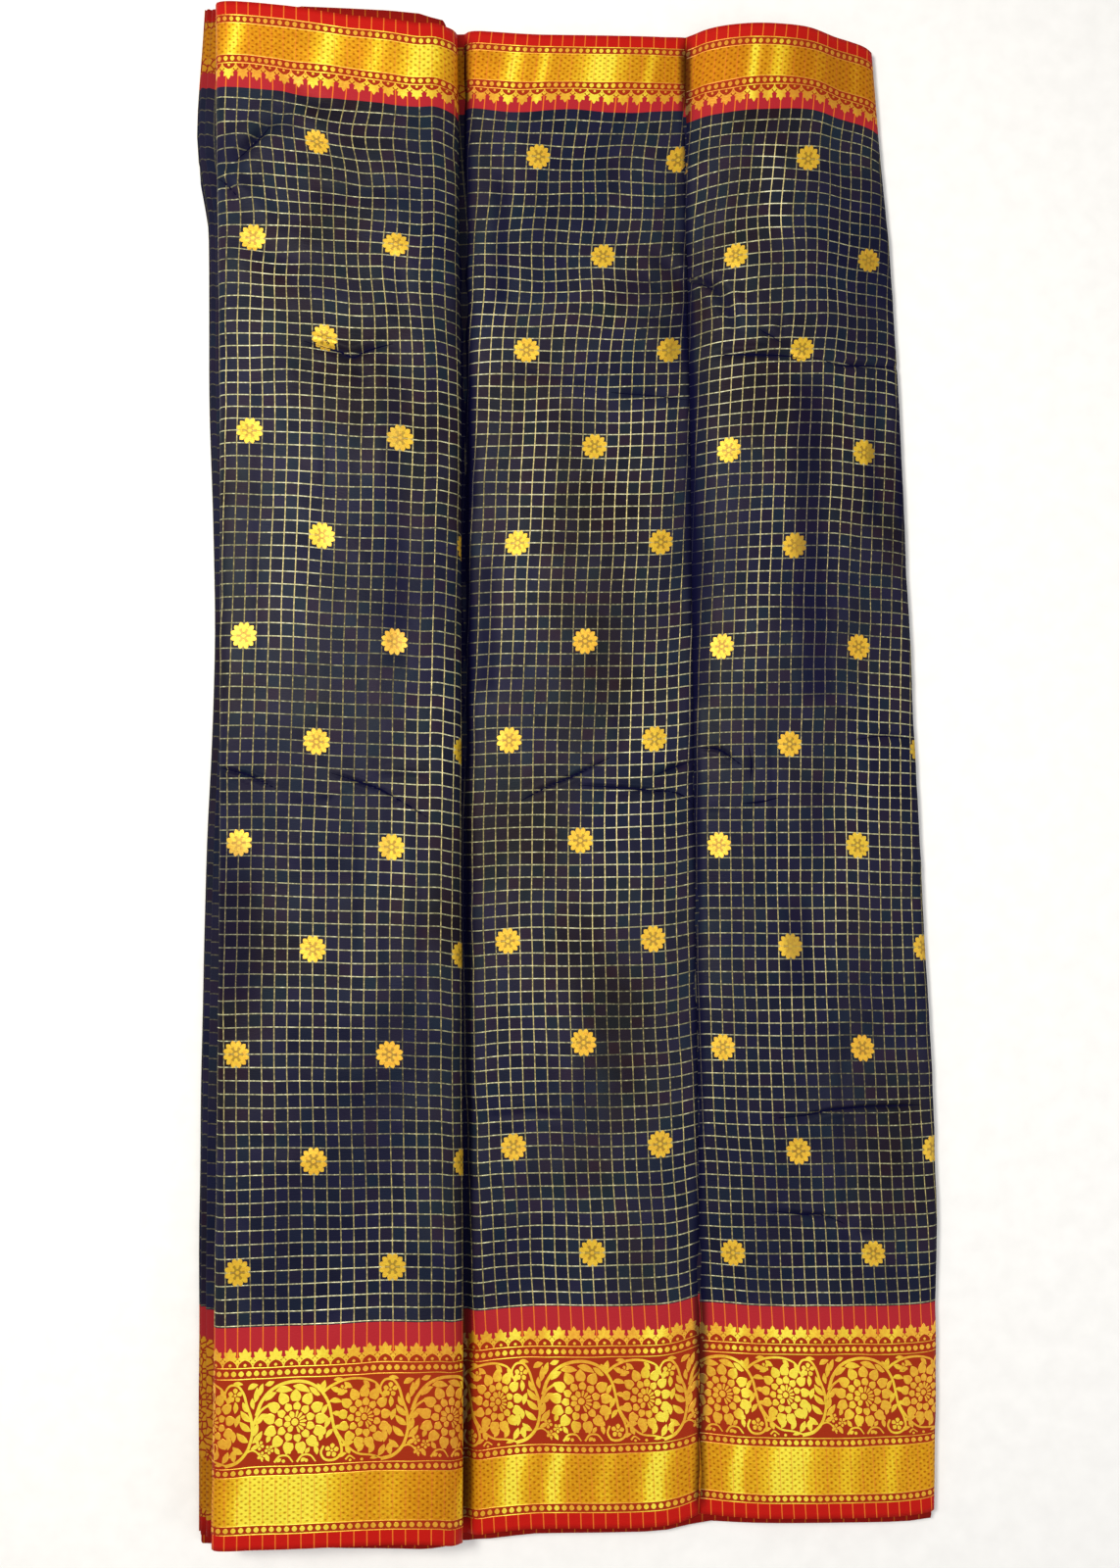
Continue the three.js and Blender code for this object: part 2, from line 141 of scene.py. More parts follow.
# Creases: depth, half-width, and the points in plan that each passes through. A negative depth is a
# ridge. The last ones of each pleat are long soft folds.
CREASES = {
    "left": (
        (3.6, 1.3, ((-172, 7), (-150, 0), (-134, -6), (-100, -26))),
        (3.1, 1.4, ((-256, 11), (-236, 6), (-213, -5))),
        (1.8, 1.5, ((-213, -15), (-185, -13), (-156, -7))),
        (3.4, 5.0, ((-200, 528), (-216, 518), (-237, 497), (-252, 482), (-264, 468))),
        (3.0, 2.6, ((-224, 508), (-238, 495), (-250, 482))),
        (-1.9, 5.0, ((-266, 476), (-252, 466), (-234, 449), (-222, 430))),
        (2.4, 2.4, ((-267, 470), (-257, 462), (-247, 450))),
        (2.0, 6.0, ((-212, 546), (-196, 528), (-172, 518))),
        (3.2, 2.2, ((-196, 338), (-178, 333), (-166, 329), (-158, 326), (-148, 331), (-128, 336))),
        (1.6, 5.0, ((-158, 322), (-152, 312), (-150, 298))),
        (2.0, 6.5, ((-128, 414), (-124, 388), (-124, 352))),
        (1.8, 8.0, ((-252, 420), (-222, 406), (-196, 398), (-160, 400))),
        (1.6, 7.0, ((-204, 462), (-176, 452), (-140, 458), (-112, 452))),
        (1.4, 2.0, ((-139, 4), (-118, 8), (-96, 6))),
        (1.3, 9.0, ((-226, 330), (-190, 322), (-130, 326), (-96, 318))),
        (-1.1, 12.0, ((-240, 250), (-180, 262), (-110, 250))),
        (1.1, 12.0, ((-236, -90), (-180, -70), (-110, -84))),
        (-1.0, 10.0, ((-230, -210), (-170, -222), (-104, -208))),
        (1.3, 7.0, ((-238, -262), (-206, -270), (-176, -264))),
    ),
    "centre": (
        (3.6, 1.3, ((38, 20), (10, 6), (-11, -3), (-30, -13))),
        (3.6, 1.3, ((14, -1), (46, -3), (70, -5), (91, -7), (103, -15))),
        (2.4, 1.8, ((70, 5), (88, 13), (104, 18))),
        (2.4, 5.0, ((66, 424), (78, 416), (90, 404), (96, 390))),
        (1.8, 6.0, ((58, 372), (76, 368), (94, 362))),
        (2.2, 2.0, ((40, 306), (64, 305), (100, 303))),
        (1.6, 2.6, ((-54, 318), (-24, 322), (10, 316), (30, 308))),
        (1.4, 3.0, ((-54, -254), (-20, -250), (12, -256))),
        (1.1, 10.0, ((-50, 300), (10, 290), (80, 306))),
        (-1.0, 12.0, ((-50, 160), (20, 172), (86, 160))),
        (1.1, 11.0, ((-50, -120), (20, -134), (90, -120))),
        (-0.8, 9.0, ((-40, -300), (20, -292), (90, -304))),
    ),
    "right": (
        (3.9, 3.4, ((103, 402), (116, 395), (124, 385), (132, 370), (138, 350))),
        (3.0, 1.6, ((100, 401), (110, 396), (121, 388))),
        (-1.7, 4.0, ((126, 398), (136, 386), (142, 368))),
        (3.4, 2.2, ((118, 336), (145, 334), (177, 332), (190, 329))),
        (2.9, 2.0, ((196, 331), (218, 327), (246, 328), (270, 329))),
        (2.4, 2.2, ((153, 354), (162, 349), (172, 342))),
        (2.2, 3.0, ((171, 366), (172, 354), (171, 344))),
        (3.4, 1.5, ((166, -254), (189, -252), (205, -248), (229, -246), (276, -246))),
        (2.0, 5.0, ((150, -258), (175, -256), (200, -252))),
        (3.1, 1.7, ((160, -324), (180, -326), (199, -327), (215, -333))),
        (1.7, 3.0, ((214, -332), (230, -340), (250, -345))),
        (3.4, 1.4, ((109, 28), (122, 27), (140, 14))),
        (3.1, 1.4, ((140, -15), (154, -14), (167, -11))),
        (1.5, 2.0, ((110, -18), (120, -19), (132, -17))),
        (2.0, 2.4, ((228, 34), (250, 37), (273, 35))),
        (2.2, 2.2, ((145, 28), (147, 16), (146, 2))),
        (1.3, 10.0, ((124, 250), (180, 262), (250, 246))),
        (-1.1, 12.0, ((124, 130), (190, 120), (256, 134))),
        (1.3, 9.0, ((128, -150), (180, -166), (262, -150))),
    ),
}
# Rows of the grid stand closer together round these distances up the cloth, where the creases are
CREASE_ROWS = (244, 318, 572, 908, 940, 1050)
CREASE_STRETCH = 17.0  # how far round each of them
FINE_ROWS = 4000  # places up the cloth at which the spacing of rows is worked out
SMALL_STEP, LARGE_STEP = 1.0, 4.1  # spacing of the rows with and without creases
COLUMN_STEP = 3.4


def cubic(t, step, start, end, start_slope, end_slope):
    """The cubic between two values with a slope at each, at a share t of the step from one to the other."""
    return (
        start * (1 + 2 * t) * (1 - t) ** 2 + end * t * t * (3 - 2 * t)
        + start_slope * step * t * (1 - t) ** 2 - end_slope * step * t * t * (1 - t)
    )


def through(places, values, at):
    """A smooth curve through a table: between two rows a cubic whose slope at each row is that of the line
    between the row's two neighbours."""
    places, values = np.asarray(places, float), np.asarray(values, float)
    before = np.maximum(np.arange(len(places)) - 1, 0)
    after = np.minimum(np.arange(len(places)) + 1, len(places) - 1)
    slope = (values[after] - values[before]) / (places[after] - places[before])
    i = np.clip(np.searchsorted(places, at, side="right") - 1, 0, len(places) - 2)
    step = places[i + 1] - places[i]
    return cubic((at - places[i]) / step, step, values[i], values[i + 1], slope[i], slope[i + 1])


def fold_line(name, up):
    """X of a fold line at a distance up the cloth."""
    return through(FOLD_LINES["up"], FOLD_LINES[name], up)


def sides_of(pleat, up):
    """X of the fold lines where a pleat begins and ends."""
    return fold_line(PLEATS[pleat]["from"], up), fold_line(PLEATS[pleat]["to"], up)


def parabola(low, mid, high, share):
    """The parabola through a value at the cloth's lower edge, one half-way and one at its upper edge."""
    rest = 1 - share
    return low * rest * (1 - 2 * share) + mid * 4 * share * rest + high * share * (2 * share - 1)


def bend_points(pleat, up):
    """Every bend of a pleat at each distance up: X is a share of the way between its two fold lines, Y goes
    evenly from bottom to top, and Z is the parabola through low, mid and high."""
    across, high, mid, low, top, bottom = np.array(PLEATS[pleat]["bends"], float).T
    up = np.asarray(up, float)[:, None]
    share = up / CLOTH_WIDTH
    start, end = sides_of(pleat, up)
    x, y = start + (end - start) * across, bottom + (top - bottom) * share
    return np.stack([x, y, parabola(low, mid, high, share)], axis=-1)


def lengths_along(line, axis=0):
    """The length of a line of points from its start up to each point."""
    steps = np.linalg.norm(np.diff(line, axis=axis), axis=-1)
    none = np.zeros_like(np.take(steps, [0], axis=axis))
    return np.concatenate([none, np.cumsum(steps, axis=axis)], axis=axis)


FINE_PLACES = 900  # along a smooth curve, before it is cut into even columns


def curve_through(points, columns):
    """Each row of points becomes a smooth curve, cut into columns of even length: a cubic between two points
    whose slope at each is that of the chord between its neighbours, measured by chord length. Gives the
    points and each row's length."""
    knots = lengths_along(points, axis=1)
    chord = np.linalg.norm(np.diff(points, axis=1), axis=-1)
    inner = (points[:, 2:] - points[:, :-2]) / (knots[:, 2:] - knots[:, :-2])[..., None]
    first = (points[:, 1:2] - points[:, :1]) / chord[:, :1, None]
    last = (points[:, -1:] - points[:, -2:-1]) / chord[:, -1:, None]
    slope = np.concatenate([first, inner, last], axis=1)
    place = np.linspace(0, points.shape[1] - 1, FINE_PLACES)
    i = np.minimum(place.astype(int), points.shape[1] - 2)
    t = (place - i)[None, :, None]
    line = cubic(t, chord[:, i, None], points[:, i], points[:, i + 1], slope[:, i], slope[:, i + 1])
    length = lengths_along(line, axis=1)
    rows = 2.0 * np.arange(len(points))[:, None]
    known = (length / length[:, -1:] + rows).ravel()
    wanted = (np.linspace(0, 1, columns)[None] + rows).ravel()
    even = np.stack([np.interp(wanted, known, line[..., k].ravel()) for k in range(3)], axis=-1)
    return even.reshape(len(points), columns, 3), length[:, -1]


def bell(*offsets, power=2):
    """A bell curve of one or more offsets, each counted in its own half-width. Power 4 gives a flat top."""
    return np.exp(-sum(offset**power for offset in offsets))


def fade_ends(place, start, end, reach, least=0.0):
    """1 between two ends, and sinking towards each of them over a reach, to 0 or the least value."""
    return np.clip((place - start) / reach, least, 1) * np.clip((end - place) / reach, least, 1)


RIPPLE_WAVES, RIPPLE_SPREAD, RIPPLE_GAIN = 7, 0.5, 1.6


def ripple(x, y, seed, wavelength):
    """Soft unevenness between about -1 and 1: a sum of plane waves of seeded directions, phases and
    lengths."""
    draw = np.random.default_rng(seed)
    angle, phase = draw.uniform(0, 2 * np.pi, (2, RIPPLE_WAVES))
    length = wavelength * (1 + RIPPLE_SPREAD * draw.uniform(-1, 1, RIPPLE_WAVES))
    total = 0
    for a, p, size in zip(angle, phase, length):
        total = total + np.sin(2 * np.pi * (x * np.cos(a) + y * np.sin(a)) / size + p)
    return total / RIPPLE_WAVES * RIPPLE_GAIN


def normals_of(grid):
    """Unit normals of a grid of points: the cross product of its directions across and along."""
    across = np.gradient(grid, axis=1)
    along = np.gradient(grid, axis=0)
    normal = np.cross(across, along)
    return normal / np.linalg.norm(normal, axis=-1, keepdims=True)


# A crease's banks: how far off they stand and how wide they are, in half-widths, and their share of
# its depth
BANK_AWAY, BANK_WIDTH, BANK_HEIGHT = 2.3, 1.1, 0.45
DARK_PER_DEPTH, DARK_WIDTH = 0.4, 2.6  # painted shade per millimetre of depth, up to 1, and less beyond this width
DARK_SHARE, DARK_MORE = 0.7, 0.6  # half-width of the painted shade: a share of the crease's, and millimetres more
# Along a crease: how blunt its ends are, how far it dips on the way, and how fast that comes and goes
FADE_POWER, DIP, DIP_TURNS = 0.7, 0.15, 9


def crease_depth(x, y, creases):
    """How far the creases push the cloth in, and how much painted shade their depths get. Across each, a
    trough is a bell curve of the distance to its line, with a lower bank on both sides; along it the depth
    grows from nothing at one end, dips a little on the way and fades at the other. Deep narrow ones get the
    darkest painted shade."""
    total, shade = np.zeros_like(x), np.zeros_like(x)
    for number, (depth, width, line) in enumerate(creases):
        line = np.array(line, float)
        nearest, place = np.full_like(x, 1e9), np.zeros_like(x)
        starts = lengths_along(line)
        for a, b, start, end in zip(line[:-1], line[1:], starts[:-1], starts[1:]):
            size = end - start
            t = np.clip(((x - a[0]) * (b[0] - a[0]) + (y - a[1]) * (b[1] - a[1])) / size**2, 0, 1)
            away = np.hypot(x - a[0] - t * (b[0] - a[0]), y - a[1] - t * (b[1] - a[1]))
            closer = away < nearest
            nearest = np.where(closer, away, nearest)
            place = np.where(closer, start + t * size, place)
        t = place / starts[-1]
        fade = np.sin(np.pi * np.clip(t, 0, 1)) ** FADE_POWER
        fade *= 1 - DIP + DIP * np.sin(DIP_TURNS * t + number)
        bank = bell((nearest - BANK_AWAY * width) / (BANK_WIDTH * width))
        total += depth * fade * (bell(nearest / width) - BANK_HEIGHT * bank)
        dark = np.clip(DARK_PER_DEPTH * depth * min(1, DARK_WIDTH / width), 0, 1)
        shade = np.maximum(shade, dark * fade * bell(nearest / (DARK_SHARE * width + DARK_MORE)))
    return total, shade


def row_places():
    """Distances up the cloth of the grid's rows: close together round the creases and wider between them."""
    fine = np.linspace(0, CLOTH_WIDTH, FINE_ROWS)
    near = sum(bell((fine - place) / CREASE_STRETCH, power=4) for place in CREASE_ROWS)
    density = 1 / LARGE_STEP + (1 / SMALL_STEP - 1 / LARGE_STEP) * np.clip(near, 0, 1)
    count = np.concatenate([[0], np.cumsum((density[1:] + density[:-1]) / 2 * np.diff(fine))])
    rows = int(count[-1]) + 1
    return np.interp(np.linspace(0, count[-1], rows), count, fine)


CALM_ENDS = 60.0  # over which the weave comes to rest at both ends of the cloth
WANDER, WANDER_MORE = 0.5, 1.1  # how far the weave wanders, and how much further at the top
WANDER_FROM, WANDER_RISE = 780, 160  # where it begins to wander further, and over what distance
WANDER_WAVES = (95, 80)  # wavelengths of the wander along and up the cloth


def weave_of(pleat, up, share, arc):
    """s and w of the weave at a distance up and a share of the way across a pleat, whose whole arc there is
    arc: s runs from its fold line at an even stretch, and w is up less the slip. Both wander a little, and
    more so towards the top, and s leans to one side in bell-shaped places."""
    stretch = PLEATS[pleat]["stretch"]
    if pleat == "centre":
        s = through(WEAVE_UP, WEAVE_VALLEY, up) - VALLEY_HALF - stretch * arc * (1 - share)
    elif pleat == "right":
        s = through(WEAVE_UP, WEAVE_VALLEY, up) + VALLEY_HALF + stretch * arc * share
    else:
        s = through(WEAVE_UP, WEAVE_LEFT, up) + stretch * (arc * share - TUCK)
    left, right = (through(SLIP_UP, slip, up) for slip in SLIPS[pleat])
    calm = fade_ends(up, 0, CLOTH_WIDTH, CALM_ENDS)
    seed = PLEATS[pleat]["seed"] + 10
    wander = WANDER + WANDER_MORE * np.clip((up - WANDER_FROM) / WANDER_RISE, 0, 1)
    wander_s = wander * ripple(arc * share, up, seed, WANDER_WAVES[0])
    for at, shift, middle, height, across, along in LEANS:
        if at == pleat:
            wander_s = wander_s + shift * bell((share - middle) / across, (up - height) / along)
    wander_w = wander * ripple(arc * share, up, seed + 10, WANDER_WAVES[1]) * calm
    return s + wander_s, up - left - (right - left) * share + wander_w


# The cloth's own soft unevenness: depth, wavelength, stretch up the cloth and seed
SWELLS = ((0.6, 62, 1, 0), (0.3, 27, 0.6, 30))
END_ROOM, END_LEAST = 30.0, 0.35  # how near the cloth's ends the unevenness sinks, and to what share
TURNED_FROM, TURNED_RANGE = 0.25, 0.4  # upward part of the normal over which the creases come in


def make_pleat(name):
    """The grid of one pleat: its points with creases and unevenness pushed in along the normals, its normals,
    s and w at each point, and the painted shade of its creases."""
    rows = row_places()
    bends = bend_points(name, rows)
    _, arcs = curve_through(bends[::40], 8)  # a few rows tell how many columns are needed
    columns = int(arcs.mean() / COLUMN_STEP) + 1
    points, arcs = curve_through(bends, columns)
    normals = normals_of(points)
    x, y = points[..., 0], points[..., 1]
    facing = np.clip((normals[..., 2] - TURNED_FROM) / TURNED_RANGE, 0, 1)
    push, shade = crease_depth(x, y, CREASES[name])
    seed = PLEATS[name]["seed"]
    uneven = sum(swell * ripple(x, y * stretch, seed + more, wave) for swell, wave, stretch, more in SWELLS)
    ends = fade_ends(rows, 0, CLOTH_WIDTH, END_ROOM, END_LEAST)
    points = points + normals * ((uneven * ends[:, None] - push) * facing)[..., None]
    share = np.linspace(0, 1, columns)
    s, w = weave_of(name, rows[:, None], share[None], arcs[:, None])
    return {
        "name": name, "rows": rows, "arcs": arcs, "share": share,
        "points": points, "normals": normals_of(points), "s": s, "w": w, "shade": shade * facing,
    }


def on_grid(values, pleat, up, share):
    """Values of a pleat's grid between its rows and columns, straight across each cell."""
    if values.ndim == 2:
        return on_grid(values[..., None], pleat, up, share)[..., 0]
    r = np.interp(up, pleat["rows"], np.arange(len(pleat["rows"])))
    c = np.clip(share, 0, 1) * (len(pleat["share"]) - 1)
    i = np.minimum(r.astype(int), len(pleat["rows"]) - 2)
    j = np.minimum(c.astype(int), len(pleat["share"]) - 2)
    u, v = (r - i)[..., None], (c - j)[..., None]
    return (
        values[i, j] * (1 - u) * (1 - v) + values[i + 1, j] * u * (1 - v)
        + values[i, j + 1] * (1 - u) * v + values[i + 1, j + 1] * u * v
    )


WEAVE_STEPS = 6


def find_weave(pleat, s, w, up=None, share=None):
    """Where s and w of the weave lie on a pleat, by a few steps that each take off what is still missing. An
    up or a share that is given stays as it is."""
    name = pleat["name"]
    free_up, free_share = up is None, share is None
    up = np.array(w, float) if free_up else np.array(up, float)
    shape = np.broadcast(up, s if free_share else share).shape
    up = np.broadcast_to(up, shape).copy()
    share = np.full(shape, 0.5) if free_share else np.broadcast_to(share, shape)
    for _ in range(WEAVE_STEPS):
        arc = np.interp(up, pleat["rows"], pleat["arcs"])
        found_s, found_w = weave_of(name, up, share, arc)
        if free_share:
            share = share + (s - found_s) / (PLEATS[name]["stretch"] * arc)
        if free_up:
            up = np.clip(up + w - found_w, 0, CLOTH_WIDTH)
    return up, share


# ---------------------------------------------------------------------------------------------- making meshes
def place_object(name, data, place=(0, 0, 0), turn=(0, 0, 0)):
    """Adds an object of some data to the scene; the saree's own pieces stay at the origin, unturned."""
    made = bpy.data.objects.new(name, data)
    made.location, made.rotation_euler = place, turn
    bpy.context.collection.objects.link(made)
    return made


def add_mesh(name, points, faces, material, weave, tones, smooth=True):
    """A mesh object at the origin from points in plan millimetres and blocks of faces with equal corners.
    Each point's s and w become the UV map cloth, in metres, and its tones an attribute of painted light: how
    much painted sheen it gets, how much painted shade of a fold, and how much painted brownish reflection."""
    mesh = bpy.data.meshes.new(name)
    points = (points.reshape(-1, 3) - MIDDLE) / 1000
    corners = np.concatenate([block.ravel() for block in faces]).astype(np.int32)
    sizes = np.concatenate([np.full(len(block), block.shape[1], np.int32) for block in faces])
    mesh.vertices.add(len(points))
    mesh.vertices.foreach_set("co", points.astype(np.float32).ravel())
    mesh.loops.add(len(corners))
    mesh.loops.foreach_set("vertex_index", corners)
    mesh.polygons.add(len(sizes))
    mesh.polygons.foreach_set("loop_start", np.concatenate([[0], np.cumsum(sizes)[:-1]]).astype(np.int32))
    mesh.polygons.foreach_set("use_smooth", np.full(len(sizes), smooth))
    layer = mesh.uv_layers.new(name="cloth")
    layer.data.foreach_set("uv", (weave.reshape(-1, 2)[corners] / 1000).astype(np.float32).ravel())
    attribute = mesh.attributes.new("tones", "FLOAT_VECTOR", "POINT")
    attribute.data.foreach_set("vector", np.asarray(tones, np.float32).ravel())
    mesh.update(calc_edges=True)
    mesh.validate()
    mesh.materials.append(material)
    return place_object(name, mesh)


def grid_faces(rows, columns):
    """Quads of a grid whose points are numbered row by row, facing along the grid's normals."""
    r, c = np.meshgrid(np.arange(rows - 1), np.arange(columns - 1), indexing="ij")
    a = (r * columns + c).ravel()
    return np.stack([a, a + 1, a + 1 + columns, a + columns], axis=1)


def solidify(piece, thickness, offset=-1):
    """Gives a sheet its thickness: below its face, or on both sides with offset 0."""
    wall = piece.modifiers.new("thickness", "SOLIDIFY")
    wall.thickness = thickness / 1000
    wall.offset = offset
    wall.use_rim = True
    return piece


SINK = 0.06  # how deep the feet of a raised thread lie in the cloth
# Sections of raised threads: each corner from left to right, as shares of the half-width and of the height
RIDGE = ((-1, 0), (0, 1), (1, 0))
FLAT_TOP = ((-1, 0), (-0.86, 1), (0, 1), (0.86, 1), (1, 0))
EVEN_SHINE = 0.55  # what the painted sheen of even strips is drawn to


class Strips:
    """Collects closed raised strips on one pleat: corners, faces, weave places and tones. deep is the least
    painted shade they get, and even the share by which their painted sheen is drawn to one value."""

    def __init__(self, pleat, deep=0.0, even=0.0):
        self.pleat, self.deep, self.even = pleat, deep, even
        self.points, self.sides, self.ends, self.weave, self.tones = [], [], [], [], []
        self.count = 0

    def add(self, s, w, half, height, section):
        """Strips along lines of the weave, a row for each. Each corner of the section stands off the line in
        the weave, lies on the cloth at its own place and is moved out along the cloth's normal there."""
        s, w, half, height = np.broadcast_arrays(s, w, half, height)
        along_s, along_w = np.gradient(s, axis=1), np.gradient(w, axis=1)
        length = np.maximum(np.hypot(along_s, along_w), 1e-9)
        side, rise = np.array(section, float).T
        s = s[..., None] + (along_w / length * half)[..., None] * side
        w = w[..., None] - (along_s / length * half)[..., None] * side
        up, share = find_weave(self.pleat, s, w)
        normals = on_grid(self.pleat["normals"], self.pleat, up, share)
        normals /= np.linalg.norm(normals, axis=-1, keepdims=True)
        lift = height[..., None] * rise - SINK * (1 - rise)
        points = on_grid(self.pleat["points"], self.pleat, up, share) + normals * lift[..., None]
        count, n, corners = s.shape
        first = self.count + np.arange(count * n).reshape(count, n) * corners
        a, b = first[:, :-1].ravel(), first[:, 1:].ravel()
        around = np.arange(corners)
        for i, j in zip(around, np.roll(around, -1)):
            self.sides.append(np.stack([a + i, a + j, b + j, b + i], axis=1))
        self.ends.append(np.concatenate([first[:, :1] + around[::-1], first[:, -1:] + around]))
        self.count += count * n * corners
        self.points.append(points.reshape(-1, 3))
        self.weave.append(np.stack([s, w], axis=-1).reshape(-1, 2))
        tones = tones_at(self.pleat, up, share, w).reshape(-1, 3)
        tones[:, 0] += self.even * (EVEN_SHINE - tones[:, 0])
        tones[:, 1] = np.maximum(tones[:, 1], self.deep)
        self.tones.append(tones)

    def piece(self, name, material, slot_name):
        """All strips so far as one piece."""
        faces = [np.concatenate(self.sides)]
        for corners in sorted({block.shape[1] for block in self.ends}):
            faces.append(np.concatenate([block for block in self.ends if block.shape[1] == corners]))
        made = add_mesh(
            name, np.concatenate(self.points), faces, material,
            np.concatenate(self.weave), np.concatenate(self.tones), smooth=False,
        )
        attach(made, "root")
        return made


# Painted sheen: where the gold is painted shining yellow, as if its folds caught the light: share across the
# pleat, half-width of the streak and strength, for the lower and the upper border
STREAKS = {
    "left": (
        ((0.36, 0.16, 1), (0.22, 0.07, 0.7), (0.9, 0.02, 0.8), (0.66, 0.05, 0.3)),
        ((0.13, 0.028, 0.9), (0.44, 0.045, 0.8), (0.6, 0.03, 0.6), (0.75, 0.07, 0.9), (0.6, 0.5, 0.2)),
    ),
    "centre": (
        ((0.3, 0.05, 0.9), (0.46, 0.035, 0.8), (0.84, 0.05, 0.9), (0.65, 0.03, 0.3), (0.5, 0.7, 0.14)),
        ((0.31, 0.035, 0.8), (0.43, 0.02, 0.7), (0.66, 0.08, 0.9), (0.85, 0.02, 0.6), (0.55, 0.4, 0.25)),
    ),
    "right": (
        ((0.17, 0.03, 0.8), (0.38, 0.09, 0.9), (0.62, 0.04, 0.35), (0.8, 0.03, 0.4), (0.5, 0.7, 0.26)),
        ((0.34, 0.03, 1), (0.46, 0.05, 0.8), (0.66, 0.03, 0.2), (0.86, 0.02, 0.25)),
    ),
}
# Long soft folds, painted as darker streaks of painted shade or, below zero, as brighter streaks of painted
# sheen: share across the pleat, half-width, from and to (distance up the cloth) and strength
PAINTED_FOLD_STREAKS = {
    "left": (
        (0.655, 0.045, 640, 880, 0.4), (0.41, 0.016, 768, 875, 0.35), (0.78, 0.016, 779, 883, 0.35),
        (0.1, 0.07, 1025, 1062, 0.45), (0.3, 0.06, 1050, 1080, 0.4), (0.68, 0.07, 1000, 1032, 0.35),
        (0.45, 0.13, 925, 950, 0.35), (0.9, 0.05, 895, 965, 0.35), (0.0, 0.03, 0, 1156, 0.6),
        (1.0, 0.03, 0, 1156, 0.8), (0.3, 0.3, 170, 610, 0.16), (0.12, 0.09, 390, 520, 0.4),
        (0.62, 0.02, 400, 560, 0.3), (0.72, 0.02, 400, 560, 0.3), (0.52, 0.016, 430, 540, 0.25),
        (0.2, 0.02, 640, 870, 0.2), (0.86, 0.1, 560, 890, -0.1), (0.955, 0.02, 170, 1085, -0.5),
        (0.32, 0.1, 650, 860, -0.2),
    ),
    "centre": (
        (0.055, 0.07, 0, 1156, 1.0), (0.065, 0.08, 560, 1156, 1.0), (1.0, 0.022, 0, 1156, 0.85),
        (0.26, 0.035, 929, 1045, 0.6), (0.2, 0.035, 622, 738, 0.5), (0.14, 0.018, 765, 880, 0.45),
        (0.8, 0.11, 935, 970, 0.45), (0.95, 0.06, 875, 940, 0.45), (0.66, 0.25, 888, 900, 0.4),
        (0.5, 0.016, 700, 860, 0.2), (0.1, 0.08, 430, 500, 0.3), (0.55, 0.016, 300, 480, 0.2),
        (0.7, 0.02, 560, 620, 0.3), (0.4, 0.1, 640, 870, -0.2), (0.8, 0.12, 690, 860, -0.25),
        (0.75, 0.1, 440, 560, -0.15),
    ),
    "right": (
        (0.0, 0.03, 0, 1156, 0.9), (0.02, 0.07, 617, 900, 0.5), (0.42, 0.06, 985, 1070, -0.6),
        (0.53, 0.075, 617, 883, 0.55), (0.83, 0.03, 760, 880, 0.5), (0.97, 0.03, 760, 880, 0.5),
        (0.8, 0.25, 895, 1060, 0.3), (0.42, 0.06, 400, 480, 0.45), (0.58, 0.02, 170, 360, 0.25),
        (0.33, 0.016, 500, 610, 0.35), (0.5, 0.06, 500, 570, 0.3), (0.3, 0.08, 640, 760, -0.2),
        (0.6, 0.5, 160, 990, 0.12), (1.0, 0.05, 160, 1092, 0.35), (0.86, 0.34, 1090, 1160, 0.18),
    ),
}
# Painted brownish reflection, where the silk is drawn browner: pleat, share across, distance up, both
# half-widths and strength
BROWN_REFLECTION_PATCHES = (
    ("left", 0.1, 450, 0.14, 60, 1), ("left", 0.72, 470, 0.26, 75, 0.8),
    ("left", 0.4, 440, 0.3, 45, 0.5), ("centre", 0.08, 430, 0.14, 110, 0.6),
    ("left", 0.2, 330, 0.2, 60, 0.3), ("right", 0.1, 690, 0.2, 50, 0.4),
    ("right", 0.95, 760, 0.1, 90, 0.5), ("centre", 0.75, 930, 0.2, 30, 0.5),
)
DULL_GOLD = 0.12  # painted sheen of the lower border between its streaks
# The field's painted sheen: its mean, and strength, stretch up the cloth, seed and wavelength of each
# unevenness
FIELD_SHINE = 0.44
FIELD_STREAKS = ((0.24, 0.2, 77, 60), (0.16, 0.6, 78, 150))
SOFT_ENDS = 14.0  # over which a long fold fades at both ends
# How far the borders' painted sheen and the long folds' painted shade sway, as a share of the way across, and
# over what length
SHINE_SWAY, SHINE_WAVE = 0.02, 17
FOLD_SWAY, FOLD_WAVE = 0.006, 31


